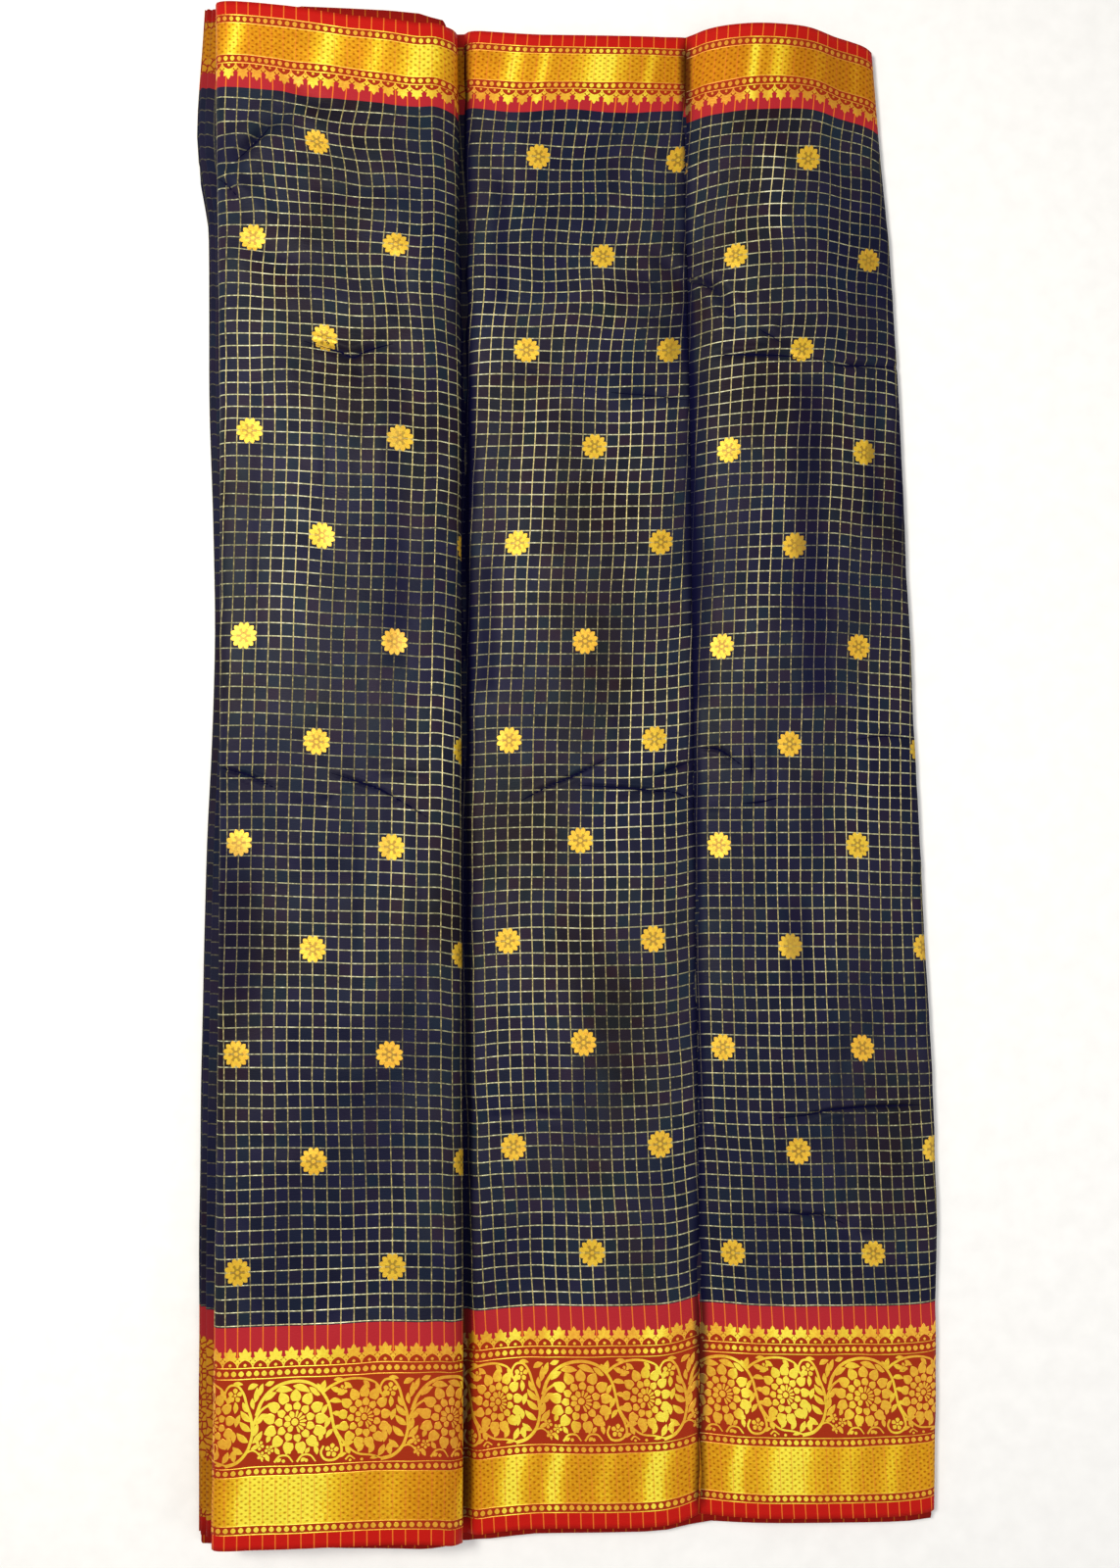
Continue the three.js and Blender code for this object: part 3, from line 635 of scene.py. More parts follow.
def tones_at(pleat, up, share, w):
    """Painted sheen, painted shade and painted brownish reflection, from 0 to 1. The gold of the borders is
    painted shining in bell curves across the pleat, where its folds would catch the light, and the field in
    long uneven streaks; both are painted into shade in creases and in the long folds, each a flat-topped
    curve across and a soft-ended stretch along."""
    name = pleat["name"]
    up, share, w = np.broadcast_arrays(up, share, w)
    at = share + SHINE_SWAY * np.sin(w / SHINE_WAVE)
    low, high = (sum(k * bell((at - c) / half) for c, half, k in border) for border in STREAKS[name])
    field = FIELD_SHINE
    for k, stretch, seed, wave in FIELD_STREAKS:
        field = field + k * ripple(share * 200, w * stretch, seed, wave)
    shine = np.where(w < LOWER_BORDER, DULL_GOLD + low, np.where(w > FIELD_TOP, high, field))
    streaks = 0
    for middle, half, start, end, strength in PAINTED_FOLD_STREAKS[name]:
        sway = FOLD_SWAY * np.sin(w / FOLD_WAVE + 40 * middle)
        across = bell((share + sway - middle) / half, power=4)
        streaks = streaks + strength * across * fade_ends(w, start, end, SOFT_ENDS)
    shade = np.maximum(np.clip(streaks, 0, 1), on_grid(pleat["shade"], pleat, up, share))
    brown = sum(
        k * bell((share - middle) / across, (w - height) / along)
        for place, middle, height, across, along, k in BROWN_REFLECTION_PATCHES if place == name
    )
    return np.stack([np.clip(shine - np.minimum(streaks, 0), 0, 1), shade, brown + 0 * shade], axis=-1)


# ---------------------------------------------------------------------------------------------- materials
def linear(colour, alpha=1.0):
    """The linear colour of an sRGB hex value."""
    channels = [int(colour[i : i + 2], 16) / 255 for i in (1, 3, 5)]
    return [c / 12.92 if c <= 0.04045 else ((c + 0.055) / 1.055) ** 2.4 for c in channels] + [alpha]


def connect(tree, node, values=(), named=None):
    """Fills a node's inputs, in order or by name, each with a plain value, an output, or a node, of which it
    takes the first output in use."""
    pairs = list(zip([socket for socket in node.inputs if socket.enabled], values))
    pairs += [(node.inputs[key], value) for key, value in (named or {}).items()]
    for socket, value in pairs:
        if isinstance(value, bpy.types.Node):
            value = next(output for output in value.outputs if output.enabled)
        if isinstance(value, bpy.types.NodeSocket):
            tree.links.new(value, socket)
        else:
            socket.default_value = value


def add_node(tree, kind, *values, stops=(), **named):
    """Adds a shader node. Names with a capital are inputs and the others settings; values fill the inputs in
    order. Stops are a colour ramp's places and colours, and alphas where they aren't 1."""
    made = tree.nodes.new("ShaderNode" + kind)
    for key, value in named.items():
        if key[0].islower():
            setattr(made, key, value)
    connect(tree, made, values, {key: value for key, value in named.items() if key[0].isupper()})
    for number, (place, *colour) in enumerate(stops):
        if number >= len(made.color_ramp.elements):
            made.color_ramp.elements.new(1.0)
        made.color_ramp.elements[number].position = place
        made.color_ramp.elements[number].color = linear(*colour)
    return made


def new_material(name):
    """A material, its node tree and its shader."""
    material = bpy.data.materials.new(name)
    material.use_nodes = True
    return material, material.node_tree, material.node_tree.nodes["Principled BSDF"]


# The darkest navy and the darkest red below are painted shade: what the field and the borders sink to in
# their folds
NAVY, FOLD_SHADE_NAVY = "#1b1b34", "#040426"
SELVAGE_RED, CRIMSON, FOLD_SHADE_RED = "#b7160e", "#a8242c", "#3a0a05"
ZARI_GROUND, BROCADE, LINE_ORANGE = "#9a2c10", "#d08206", "#e2741f"
# What a band is woven as, told by the ramp's alpha
RED_SILK, FIGURE_GROUND, FIELD, GOLD = 0.0, 0.25, 0.5, 1.0

# Bands of the borders, counted from the cloth's lower edge and from its upper edge: where each begins, its
# colour and what it is woven as
LOWER_BANDS = (
    (0, SELVAGE_RED, RED_SILK), (11.4, ZARI_GROUND, FIGURE_GROUND), (18.2, BROCADE, GOLD),
    (54.5, ZARI_GROUND, FIGURE_GROUND), (142.5, CRIMSON, RED_SILK), (LOWER_BORDER, NAVY, FIELD),
)
UPPER_BANDS = (
    (0, SELVAGE_RED, RED_SILK), (9.8, ZARI_GROUND, FIGURE_GROUND), (15.9, BROCADE, GOLD),
    (39.7, ZARI_GROUND, FIGURE_GROUND), (51.5, CRIMSON, RED_SILK), (UPPER_BORDER, NAVY, FIELD),
)
LOWER_REACH, UPPER_REACH = 180.0, 72.0  # lengths that the two ramps of bands cover

LINE_HALF = 0.42  # half-width of a line of the check
BROCADE_PITCH, BROCADE_ROWS = 3.3, 2.3  # between the dark gaps of the brocade, along and up the cloth
PATCH = 150.0  # size of the patches where warp or weft comes forward
FLECK = 2.6  # size of the painted sparkle of gold thread
SLUB_LENGTH, SLUB_WIDTH = 4.0, 1.2  # unevenness of the weave
PETAL = 5.0  # size of the gold cells on the folded layers


def tones_of(tree):
    """The outputs of painted sheen, painted shade and painted brownish reflection."""
    tones = add_node(tree, "Attribute", attribute_name="tones").outputs["Vector"]
    return add_node(tree, "SeparateXYZ", tones).outputs


def with_flecks(tree, cloth, shine, amount):
    """The painted sheen, broken up into painted sparkle by the flecks of separate threads."""
    fleck = add_node(tree, "TexNoise", Vector=cloth, Scale=1000 / FLECK, Detail=2.0, noise_dimensions="2D")
    centred = add_node(tree, "Math", fleck, 0.5, operation="SUBTRACT")
    return add_node(tree, "Math", centred, amount, shine, operation="MULTIPLY_ADD")


def shaded(tree, colour, shade, in_field):
    """A colour with painted shade: it sinks to dark navy in the folds of the field and to dark red in those
    of the borders.
    """
    deep = add_node(tree, "Mix", in_field, linear(FOLD_SHADE_RED), linear(FOLD_SHADE_NAVY), data_type="RGBA")
    return add_node(tree, "Mix", shade, colour, deep, data_type="RGBA")


def weave_bump(tree, cloth, length, width, depth):
    """A normal from long thin noise that stands for threads lying along the cloth."""
    stretched = add_node(tree, "Mapping", Vector=cloth, Scale=(1000 / length, 1000 / width, 1.0))
    noise = add_node(tree, "TexNoise", Vector=stretched, Scale=1.0, Detail=3.0, noise_dimensions="2D")
    return add_node(tree, "Bump", Strength=0.4, Distance=depth / 1000, Height=noise)


def border_bands(tree, up):
    """The ground colour of the bands, and masks of what they are woven as, from two ramps that begin at the
    cloth's two edges and reach a little past the borders."""
    ramps = []
    for scale, start, reach, table in (
        (1000, 0, LOWER_REACH, LOWER_BANDS), (-1000, CLOTH_WIDTH, UPPER_REACH, UPPER_BANDS),
    ):
        inward = add_node(tree, "Math", up, scale / reach, start / reach, operation="MULTIPLY_ADD")
        stops = [(distance / reach, colour, woven) for distance, colour, woven in table]
        ramps.append(add_node(tree, "ValToRGB", inward, stops=stops))
        ramps[-1].color_ramp.interpolation = "CONSTANT"
    upper = add_node(tree, "Math", up, CLOTH_WIDTH / 2000, operation="GREATER_THAN")
    bands = add_node(tree, "Mix", upper, *ramps, data_type="RGBA")
    kind = add_node(tree, "Mix", upper, *(ramp.outputs["Alpha"] for ramp in ramps), data_type="FLOAT")
    return bands, [
        add_node(tree, "Math", kind, woven, 0.1, operation="COMPARE")
        for woven in (FIELD, GOLD, RED_SILK, FIGURE_GROUND)
    ]


def check_squares(tree, cloth):
    """The numbers of the squares, counted along the cloth and down from the field's first line, and the lines
    lengthwise and crosswise, which run where the distance to the nearest whole number is small."""
    squares = add_node(
        tree, "Mapping", Vector=cloth, Location=(0.0, (FIELD_TOP - FIRST_LINE) / CHECK, 0.0),
        Scale=(1000 / CHECK, -1000 / CHECK, 1.0),
    )
    within = add_node(tree, "SeparateXYZ", squares)
    lines = []
    for axis in ("X", "Y"):
        away = add_node(tree, "Math", within.outputs[axis], 0.5, operation="PINGPONG")
        lines.append(add_node(tree, "Math", away, LINE_HALF / CHECK, operation="LESS_THAN"))
    return add_node(tree, "VectorMath", squares, operation="FLOOR"), lines


def field_colour(tree, cloth, shine, brown):
    """Navy with a slight tint of its own in each square and browner or bluer in broad patches, partly at
    random and partly as painted brownish reflection, and its pale lines, painted brighter where the painted
    sheen is high. Gives the colour and the mask of the lines that run lengthwise."""
    number, lines = check_squares(tree, cloth)
    tint = add_node(tree, "TexWhiteNoise", Vector=number, noise_dimensions="2D")
    navy = add_node(tree, "ValToRGB", tint, stops=(
        (0, "#1a1c2c"), (0.3, "#25233a"), (0.55, "#1b2834"), (0.8, "#2a2032"), (1, "#18202e"),
    ))
    patch = add_node(tree, "TexNoise", Vector=cloth, Scale=1000 / PATCH, Detail=3.0, noise_dimensions="2D")
    # Painted brownish reflection: the brown tone pushes the patches browner
    patch = add_node(tree, "Math", brown, 0.2, patch, operation="MULTIPLY_ADD")
    patches = add_node(tree, "ValToRGB", patch, stops=(
        (0.36, "#a0acd8"), (0.47, "#e8e8f4"), (0.58, "#f0dcd0"), (0.7, "#c88e70"),
    ))
    navy = add_node(tree, "Mix", 0.8, navy, patches, data_type="RGBA", blend_type="MULTIPLY")
    # Painted sheen: the lines are paler where the painted sheen is high
    pale = add_node(tree, "ValToRGB", shine, stops=(
        (0, "#4a4734"), (0.45, "#8a855e"), (0.8, "#b8b180"), (1, "#cfc898"),
    ))
    either = add_node(tree, "Math", *lines, operation="MAXIMUM")
    return add_node(tree, "Mix", either, navy, pale, data_type="RGBA"), lines[0]


def brocade_colour(tree, cloth, shine, lengthwise):
    """Gold, painted yellower where the painted sheen is high, with dark gaps: a grid turned by 45 degrees, so
    that its gaps stand in staggered rows, each a small dark spot in the middle of a cell, with paler threads
    where the cells meet, and a faint line where the check runs through."""
    diagonal = np.sqrt(2.0)
    cells = add_node(
        tree, "Mapping", Vector=cloth, Rotation=(0.0, 0.0, np.pi / 4),
        Scale=(1000 * diagonal / (2 * BROCADE_PITCH), 1000 * diagonal / (2 * BROCADE_ROWS), 1.0),
    )
    cell = add_node(tree, "VectorMath", cells, operation="FRACTION")
    off_middle = add_node(tree, "VectorMath", cell, (0.5, 0.5, 0.0), operation="SUBTRACT")
    distance = add_node(tree, "VectorMath", off_middle, operation="LENGTH")
    # Painted sheen: yellower gold where the sheen tone is high
    gold = add_node(tree, "ValToRGB", shine, stops=(
        (0, "#cc800e"), (0.35, "#e0a21a"), (0.75, "#f2ca28"), (1, "#fcec48"),
    ))
    dots = add_node(tree, "ValToRGB", distance, stops=(
        (0, "#8a5a18"), (0.13, "#a06c20"), (0.2, "#dcb888"), (0.34, "#ffffff"),
    ))
    gold = add_node(tree, "Mix", 0.7, gold, dots, data_type="RGBA", blend_type="MULTIPLY")
    faint = add_node(tree, "Math", lengthwise, 0.4, operation="MULTIPLY")
    return add_node(tree, "Mix", faint, gold, linear("#ea7c34"), data_type="RGBA")


def woven_silk(name, figured):
    """Plain-woven silk with bands of gold brocade. The silk takes a soft broad shine, and its tint changes a
    little from square to square, because warp and weft differ in colour; the brocade glints like metal,
    dotted by the dark gaps between its threads. Painted sheen makes its gold and pale lines brighter,
    painted shade sinks it towards dark navy and red in folds, and painted brownish reflection browns its
    navy in patches. Where no raised figures lie on the ground of the borders, its colour carries them as
    gold cells, figured being their share of it."""
    material, tree, shader = new_material(name)
    cloth = add_node(tree, "UVMap", uv_map="cloth")
    up = add_node(tree, "SeparateXYZ", cloth).outputs["Y"]
    bands, (in_field, in_gold, in_red, in_ground) = border_bands(tree, up)
    shine, shade, brown = tones_of(tree)
    shine = with_flecks(tree, cloth, shine, amount=0.7)
    field, lengthwise = field_colour(tree, cloth, shine, brown)
    gold = brocade_colour(tree, cloth, shine, lengthwise)

    on_red = add_node(tree, "Math", lengthwise, in_red, operation="MULTIPLY")
    colour = add_node(tree, "Mix", on_red, bands, linear(LINE_ORANGE), data_type="RGBA")
    if figured:
        petals = add_node(tree, "TexVoronoi", Vector=cloth, Scale=1000 / PETAL, voronoi_dimensions="2D",
                          feature="DISTANCE_TO_EDGE")
        petal = add_node(tree, "Math", petals, 1 - figured, operation="GREATER_THAN")
        shown = add_node(tree, "Math", petal, in_ground, operation="MULTIPLY")
        colour = add_node(tree, "Mix", shown, colour, linear("#d0921c"), data_type="RGBA")
    for mask, woven in ((in_gold, gold), (in_field, field)):
        colour = add_node(tree, "Mix", mask, colour, woven, data_type="RGBA")
    connect(tree, shader, named={
        "Base Color": shaded(tree, colour, shade, in_field),
        "Metallic": add_node(tree, "Math", in_gold, 0.35, operation="MULTIPLY"),
        "Roughness": add_node(tree, "Math", shade, 0.35, 0.5, operation="MULTIPLY_ADD"),
        "Normal": weave_bump(tree, cloth, SLUB_LENGTH, SLUB_WIDTH, depth=0.4),
        "Specular IOR Level": 0.08,
    })
    return material


def zari_thread():
    """Gold-plated thread, woven in as raised figures: metal painted yellow by the painted sheen where the
    fold would turn to the light and orange elsewhere, broken up by the threads that bind it."""
    material, tree, shader = new_material("zari gold thread")
    cloth = add_node(tree, "UVMap", uv_map="cloth")
    shine, shade, _ = tones_of(tree)
    gold = add_node(tree, "ValToRGB", with_flecks(tree, cloth, shine, amount=0.6), stops=(
        (0, "#dd9220"), (0.35, "#eab02a"), (0.75, "#f4d232"), (1, "#fce846"),
    ))
    connect(tree, shader, named={
        # Painted shade: the gold sinks to dark bronze where the shade tone is high; the flowers' grounds take
        # a share of it as their own darker olive
        "Base Color": add_node(tree, "Mix", shade, gold, linear("#4e340a"), data_type="RGBA"),
        "Metallic": 0.35, "Roughness": 0.44,
        "Normal": weave_bump(tree, cloth, length=3.3, width=0.7, depth=0.3),
    })
    return material


def check_thread():
    """Fine gold-wrapped silk, woven in one line at a time: paler and duller than the figures, painted
    brighter where the painted sheen is high and darker in painted shade, and orange where it crosses the red
    bands."""
    material, tree, shader = new_material("fine gold check thread")
    cloth = add_node(tree, "UVMap", uv_map="cloth")
    along, up, _ = add_node(tree, "SeparateXYZ", cloth).outputs
    middle, half = (LOWER_BORDER + FIELD_TOP) / 2000, (FIELD_TOP - LOWER_BORDER) / 2000
    field = add_node(tree, "Math", up, middle, half, operation="COMPARE")
    shine, shade, _ = tones_of(tree)
    pale = add_node(tree, "ValToRGB", with_flecks(tree, cloth, shine, amount=1.3), stops=(
        (0, "#4c4b3b"), (0.35, "#8c8c68"), (0.7, "#cccda2"), (1, "#f4f6d6"),
    ))
    away = add_node(tree, "Math", along, CHECK / 2000, operation="PINGPONG")
    lengthwise = add_node(tree, "Math", away, LINE_HALF / 1000, operation="LESS_THAN")
    pale = add_node(tree, "Mix", lengthwise, pale, linear("#ffe8b8"), data_type="RGBA", blend_type="MULTIPLY")
    colour = add_node(tree, "Mix", field, linear(LINE_ORANGE), pale, data_type="RGBA")
    connect(tree, shader, named={
        "Base Color": shaded(tree, colour, shade, field), "Metallic": 0.3, "Roughness": 0.45,
    })
    return material


SILK = woven_silk("woven silk with gold thread", 0)
FOLDED_SILK = woven_silk("folded silk with gold thread", 0.88)
ZARI, FINE_THREAD = zari_thread(), check_thread()


# ---------------------------------------------------------------------------------------------- check threads
# Half-width and height of the raised lines in the field and on the red bands, and the bands without them
CHECK_THREAD, RED_THREAD = (LINE_HALF, 0.13), (0.28, 0.09)
CROSSWISE = 0.9  # height of the crosswise lines as a share of the others'
PLEAT_ENDS = 0.002  # share of a pleat at both sides that the lengthwise lines leave free
GOLD_BANDS = ((11.4, 148.0), (CLOTH_WIDTH - 56.0, CLOTH_WIDTH - 9.8))


def runs_of(inside):
    """First and last place of each unbroken run that is inside."""
    edges = np.flatnonzero(np.diff(np.concatenate([[0], inside.astype(int), [0]])))
    return [(a, b) for a, b in zip(edges[::2], edges[1::2]) if b - a > 2]


def check_threads(pleat):
    """The raised lines of one pleat. Those lengthwise follow the grid's rows and stop at the gold bands;
    those crosswise follow its columns."""
    strips = Strips(pleat)
    first, last = (int(np.floor(edge / CHECK)) for edge in (pleat["s"].min(), pleat["s"].max()))
    for number in range(first, last + 2):
        s = number * CHECK
        up, share = find_weave(pleat, s, None, up=pleat["rows"])
        w = on_grid(pleat["w"], pleat, up, share)
        shown = (share > PLEAT_ENDS) & (share < 1 - PLEAT_ENDS)
        for low, high in GOLD_BANDS:
            shown &= (w < low) | (w > high)
        in_field = (w > LOWER_BORDER) & (w < FIELD_TOP)
        for part, (half, height) in ((shown & in_field, CHECK_THREAD), (shown & ~in_field, RED_THREAD)):
            for a, b in runs_of(part):
                strips.add(s, w[None, a:b], half, height, RIDGE)
    w = (FIELD_TOP - FIRST_LINE - CHECK * np.arange(FIELD_CHECKS))[:, None]
    up, share = find_weave(pleat, None, w, share=pleat["share"][None])
    s = on_grid(pleat["s"], pleat, up, share)
    half, height = CHECK_THREAD
    strips.add(s, w, half, height * CROSSWISE, RIDGE)
    return strips.piece(f"{pleat['name']}_check_threads", FINE_THREAD, "field")


# ---------------------------------------------------------------------------------------------- crease shadow lines
EDGE_DEPTH, EDGE_WIDTH = 1.9, 2.7  # creases at least so deep and at most so wide get a raised edge painted in shade
EDGE_HEIGHT, EDGE_STEP, EDGE_SHARE = 0.45, 2.2, 0.3  # its height, its points' spacing, half-width per depth
EDGE_POWER, EDGE_DIP, EDGE_TURNS = 0.6, 0.2, 11  # blunt ends and a dip that comes and goes, as in the crease
CLOTH_FOOT = -560  # Y near the cloth's lower edge
PLAN_STEPS = 12


def find_place(pleat, x, y):
    """Where plan places lie on a pleat, by a few steps that each take off what is still missing."""
    up, share = y - CLOTH_FOOT, np.full(x.shape, 0.5)
    for _ in range(PLAN_STEPS):
        found = on_grid(pleat["points"], pleat, up, share)
        up = np.clip(up + y - found[..., 1], 0, CLOTH_WIDTH)
        share = np.clip(share + (x - found[..., 0]) / np.interp(up, pleat["rows"], pleat["arcs"]), 0.01, 0.99)
    return up, share


def crease_shadow_lines(pleat):
    """Painted shadow lines in the sharp creases: thin raised ridges along them, painted in full shade, widest
    in the middle.
    """
    # Full painted shade: the ridge stands for the shadow line in the crease
    strips = Strips(pleat, deep=1.0)
    for depth, width, line in CREASES[pleat["name"]]:
        if depth < EDGE_DEPTH or width > EDGE_WIDTH:
            continue
        line = np.array(line, float)
        places = lengths_along(line)
        at = np.linspace(0, places[-1], int(places[-1] / EDGE_STEP) + 3)
        up, share = find_place(pleat, through(places, line[:, 0], at), through(places, line[:, 1], at))
        t = at / places[-1]
        half = EDGE_SHARE * depth * np.sin(np.pi * np.clip(t, 0.02, 0.98)) ** EDGE_POWER
        half *= 1 - EDGE_DIP + EDGE_DIP * np.sin(EDGE_TURNS * t + depth)
        s, w = (on_grid(pleat[key], pleat, up, share) for key in ("s", "w"))
        strips.add(s[None], w[None], half[None], EDGE_HEIGHT, RIDGE)
    return strips.piece(f"{pleat['name']}_crease_shadow_lines", SILK, "field")


# ---------------------------------------------------------------------------------------------- gold figures
# A figure is a list of parts, and a part is a line of points, each with s, w and the half-width there
LEAF_POINT, VINE_END = 0.08, 0.65  # widths left at the end, as shares of the whole


def leaf(x, y, angle, length, width, bend=0.0, blunt=0.5, points=7, foot=0.12):
    """A leaf or petal: a line that starts at x, y and goes off at an angle that turns by bend on the way. Its
    width swells from foot, a share of it, is whole at blunt of the way, and comes to a point."""
    t = np.linspace(0, 1, points)
    turn = angle + bend * t
    step = length / (points - 1)
    line_x = x + step * np.concatenate([[0], np.cumsum(np.cos((turn[1:] + turn[:-1]) / 2))])
    line_y = y + step * np.concatenate([[0], np.cumsum(np.sin((turn[1:] + turn[:-1]) / 2))])
    rise = foot + (1 - foot) * np.sin(np.pi / 2 * np.minimum(t / blunt, 1))
    fall = np.cos(np.pi / 2 * np.clip((t - blunt) / (1 - blunt), 0, 1)) ** 0.8
    half = width / 2 * np.clip(np.minimum(rise, fall), LEAF_POINT, 1)
    return np.stack([line_x, line_y, half], axis=1)


def vine(knots, width, points):
    """A line of even width on a smooth curve through knots, a little thinner at its far end."""
    knots = np.array(knots, float)
    places = lengths_along(knots)
    at = np.linspace(0, places[-1], points)
    half = width / 2 * np.linspace(1, VINE_END, points)
    return np.stack([through(places, knots[:, 0], at), through(places, knots[:, 1], at), half], axis=1)


def ring(x, y, petals, inner, outer, width, turn=0.0, blunt=0.6, points=7, foot=0.35, arc=2 * np.pi):
    """Petals round a centre, from the inner to the outer radius, over an arc of the full turn."""
    return [
        leaf(x + inner * np.cos(a), y + inner * np.sin(a), a, outer - inner, width, 0, blunt, points, foot)
        for a in turn + arc * np.arange(petals) / petals
    ]


DOT_POINTS, DOT_BLUNT = 5, 0.12


def dot(x, y, size):
    """A small round spot: its width follows a circle, and is a little more, so that its ends are blunt."""
    t = np.linspace(-1, 1, DOT_POINTS)
    half = size / 2 * np.sqrt(1 + DOT_BLUNT - t**2)
    return np.stack([x + size / 2 * t, np.full(DOT_POINTS, y), half], axis=1)


# Rings of petals in shares of a figure's size: how many, inner radius, outer radius and width of a petal,
# turn, blunt, points, foot and arc, and after them the size of the dot in the middle
BLOSSOM = (
    (13, 0.335, 0.53, 0.182, 0.1, 0.36, 8, 0.66), (11, 0.2, 0.33, 0.13, 0.3, 0.45, 7, 0.7),
    (7, 0.08, 0.19, 0.046, -1.15, 0.8, 5, 0.5, 2.9), (4, 0.075, 0.185, 0.092, 1.95, 0.6, 6, 0.5, 2.9),
), 0.11
# A round woven flower: six petals round a heart, parted by short gaps, in a closed rim of twelve scallops;
# and what shows between the petals, six broad leaves that fill the gaps
BUTTA = ((6, 0.14, 0.4, 0.2, np.pi / 2, 0.8, 7, 0.4), (12, 0.28, 0.52, 0.205, np.pi / 12, 0.55, 6, 0.8)), 0.15
BUTTA_GROUND = ((6, 0.04, 0.42, 0.27, np.pi / 3, 0.6, 7, 0.3),), 0


def rings(x, y, size, table, heart):
    """A figure of several rings of petals and, where it has a size, a dot in the middle."""
    parts = []
    for petals, inner, outer, width, *more in table:
        parts += ring(x, y, petals, size * inner, size * outer, size * width, *more)
    return parts + ([dot(x, y, size * heart)] if heart else [])


def small_flower(x, y, size, turn):
    """Five round petals and a dot."""
    return rings(x, y, size, ((5, 0.15, 0.52, 0.36, turn, 0.62),), 0.2)


def blossom(x, y, wide, tall):
    """A pointed blossom with a ring of broad petals, a ring of smaller ones and, round its heart, a fan of
    stamens on the right and short petals on the left; then stretched to its width and height."""
    return [part * (wide, tall, (wide + tall) / 2) + (x, y, 0) for part in rings(0, 0, 1, *BLOSSOM)]


MEANDER_REPEAT = CHECK * 12
MEANDER_START, MEANDER_FOOT = 8.0, 62.5  # of the first repeat: along the cloth and up from its edge
# Vines of one repeat: width, then knots, along the cloth and up from the band's foot
VINES = (
    (2.8, ((-17, 1.5), (-8, 4), (-1, 11), (2.5, 21), (4, 31), (9, 40), (16, 45))),
    (2.4, ((3, 26), (2, 36), (-1, 45), (-3.5, 54), (-8, 60), (-14, 60), (-17.5, 54), (-15, 47.5))),
    (2.8, ((6, 37), (10, 47), (18, 56), (30, 61), (43, 61), (53, 56), (60, 46), (63, 34), (65, 24),
           (69, 15), (70, 7), (65, 2.6), (58, 3), (55, 8), (57, 13))),
    (2.3, ((56, 53), (63, 58), (72, 61.5), (84, 62), (94, 59), (99, 54))),
    (2.1, ((64, 28), (68, 20), (75, 11), (82, 6), (92, 4.5), (100, 2))),
    (1.8, ((20, 2), (24, 6.6), (30, 6.8), (34, 2.2))),
    (1.8, ((37, 2.2), (41, 6.8), (47, 6.6), (51, 2))),
    (1.6, ((73, 2), (76, 4.5), (80, 2))),
    (1.6, ((-2, 10), (3, 11.5), (7, 9.5), (11, 3))),
)
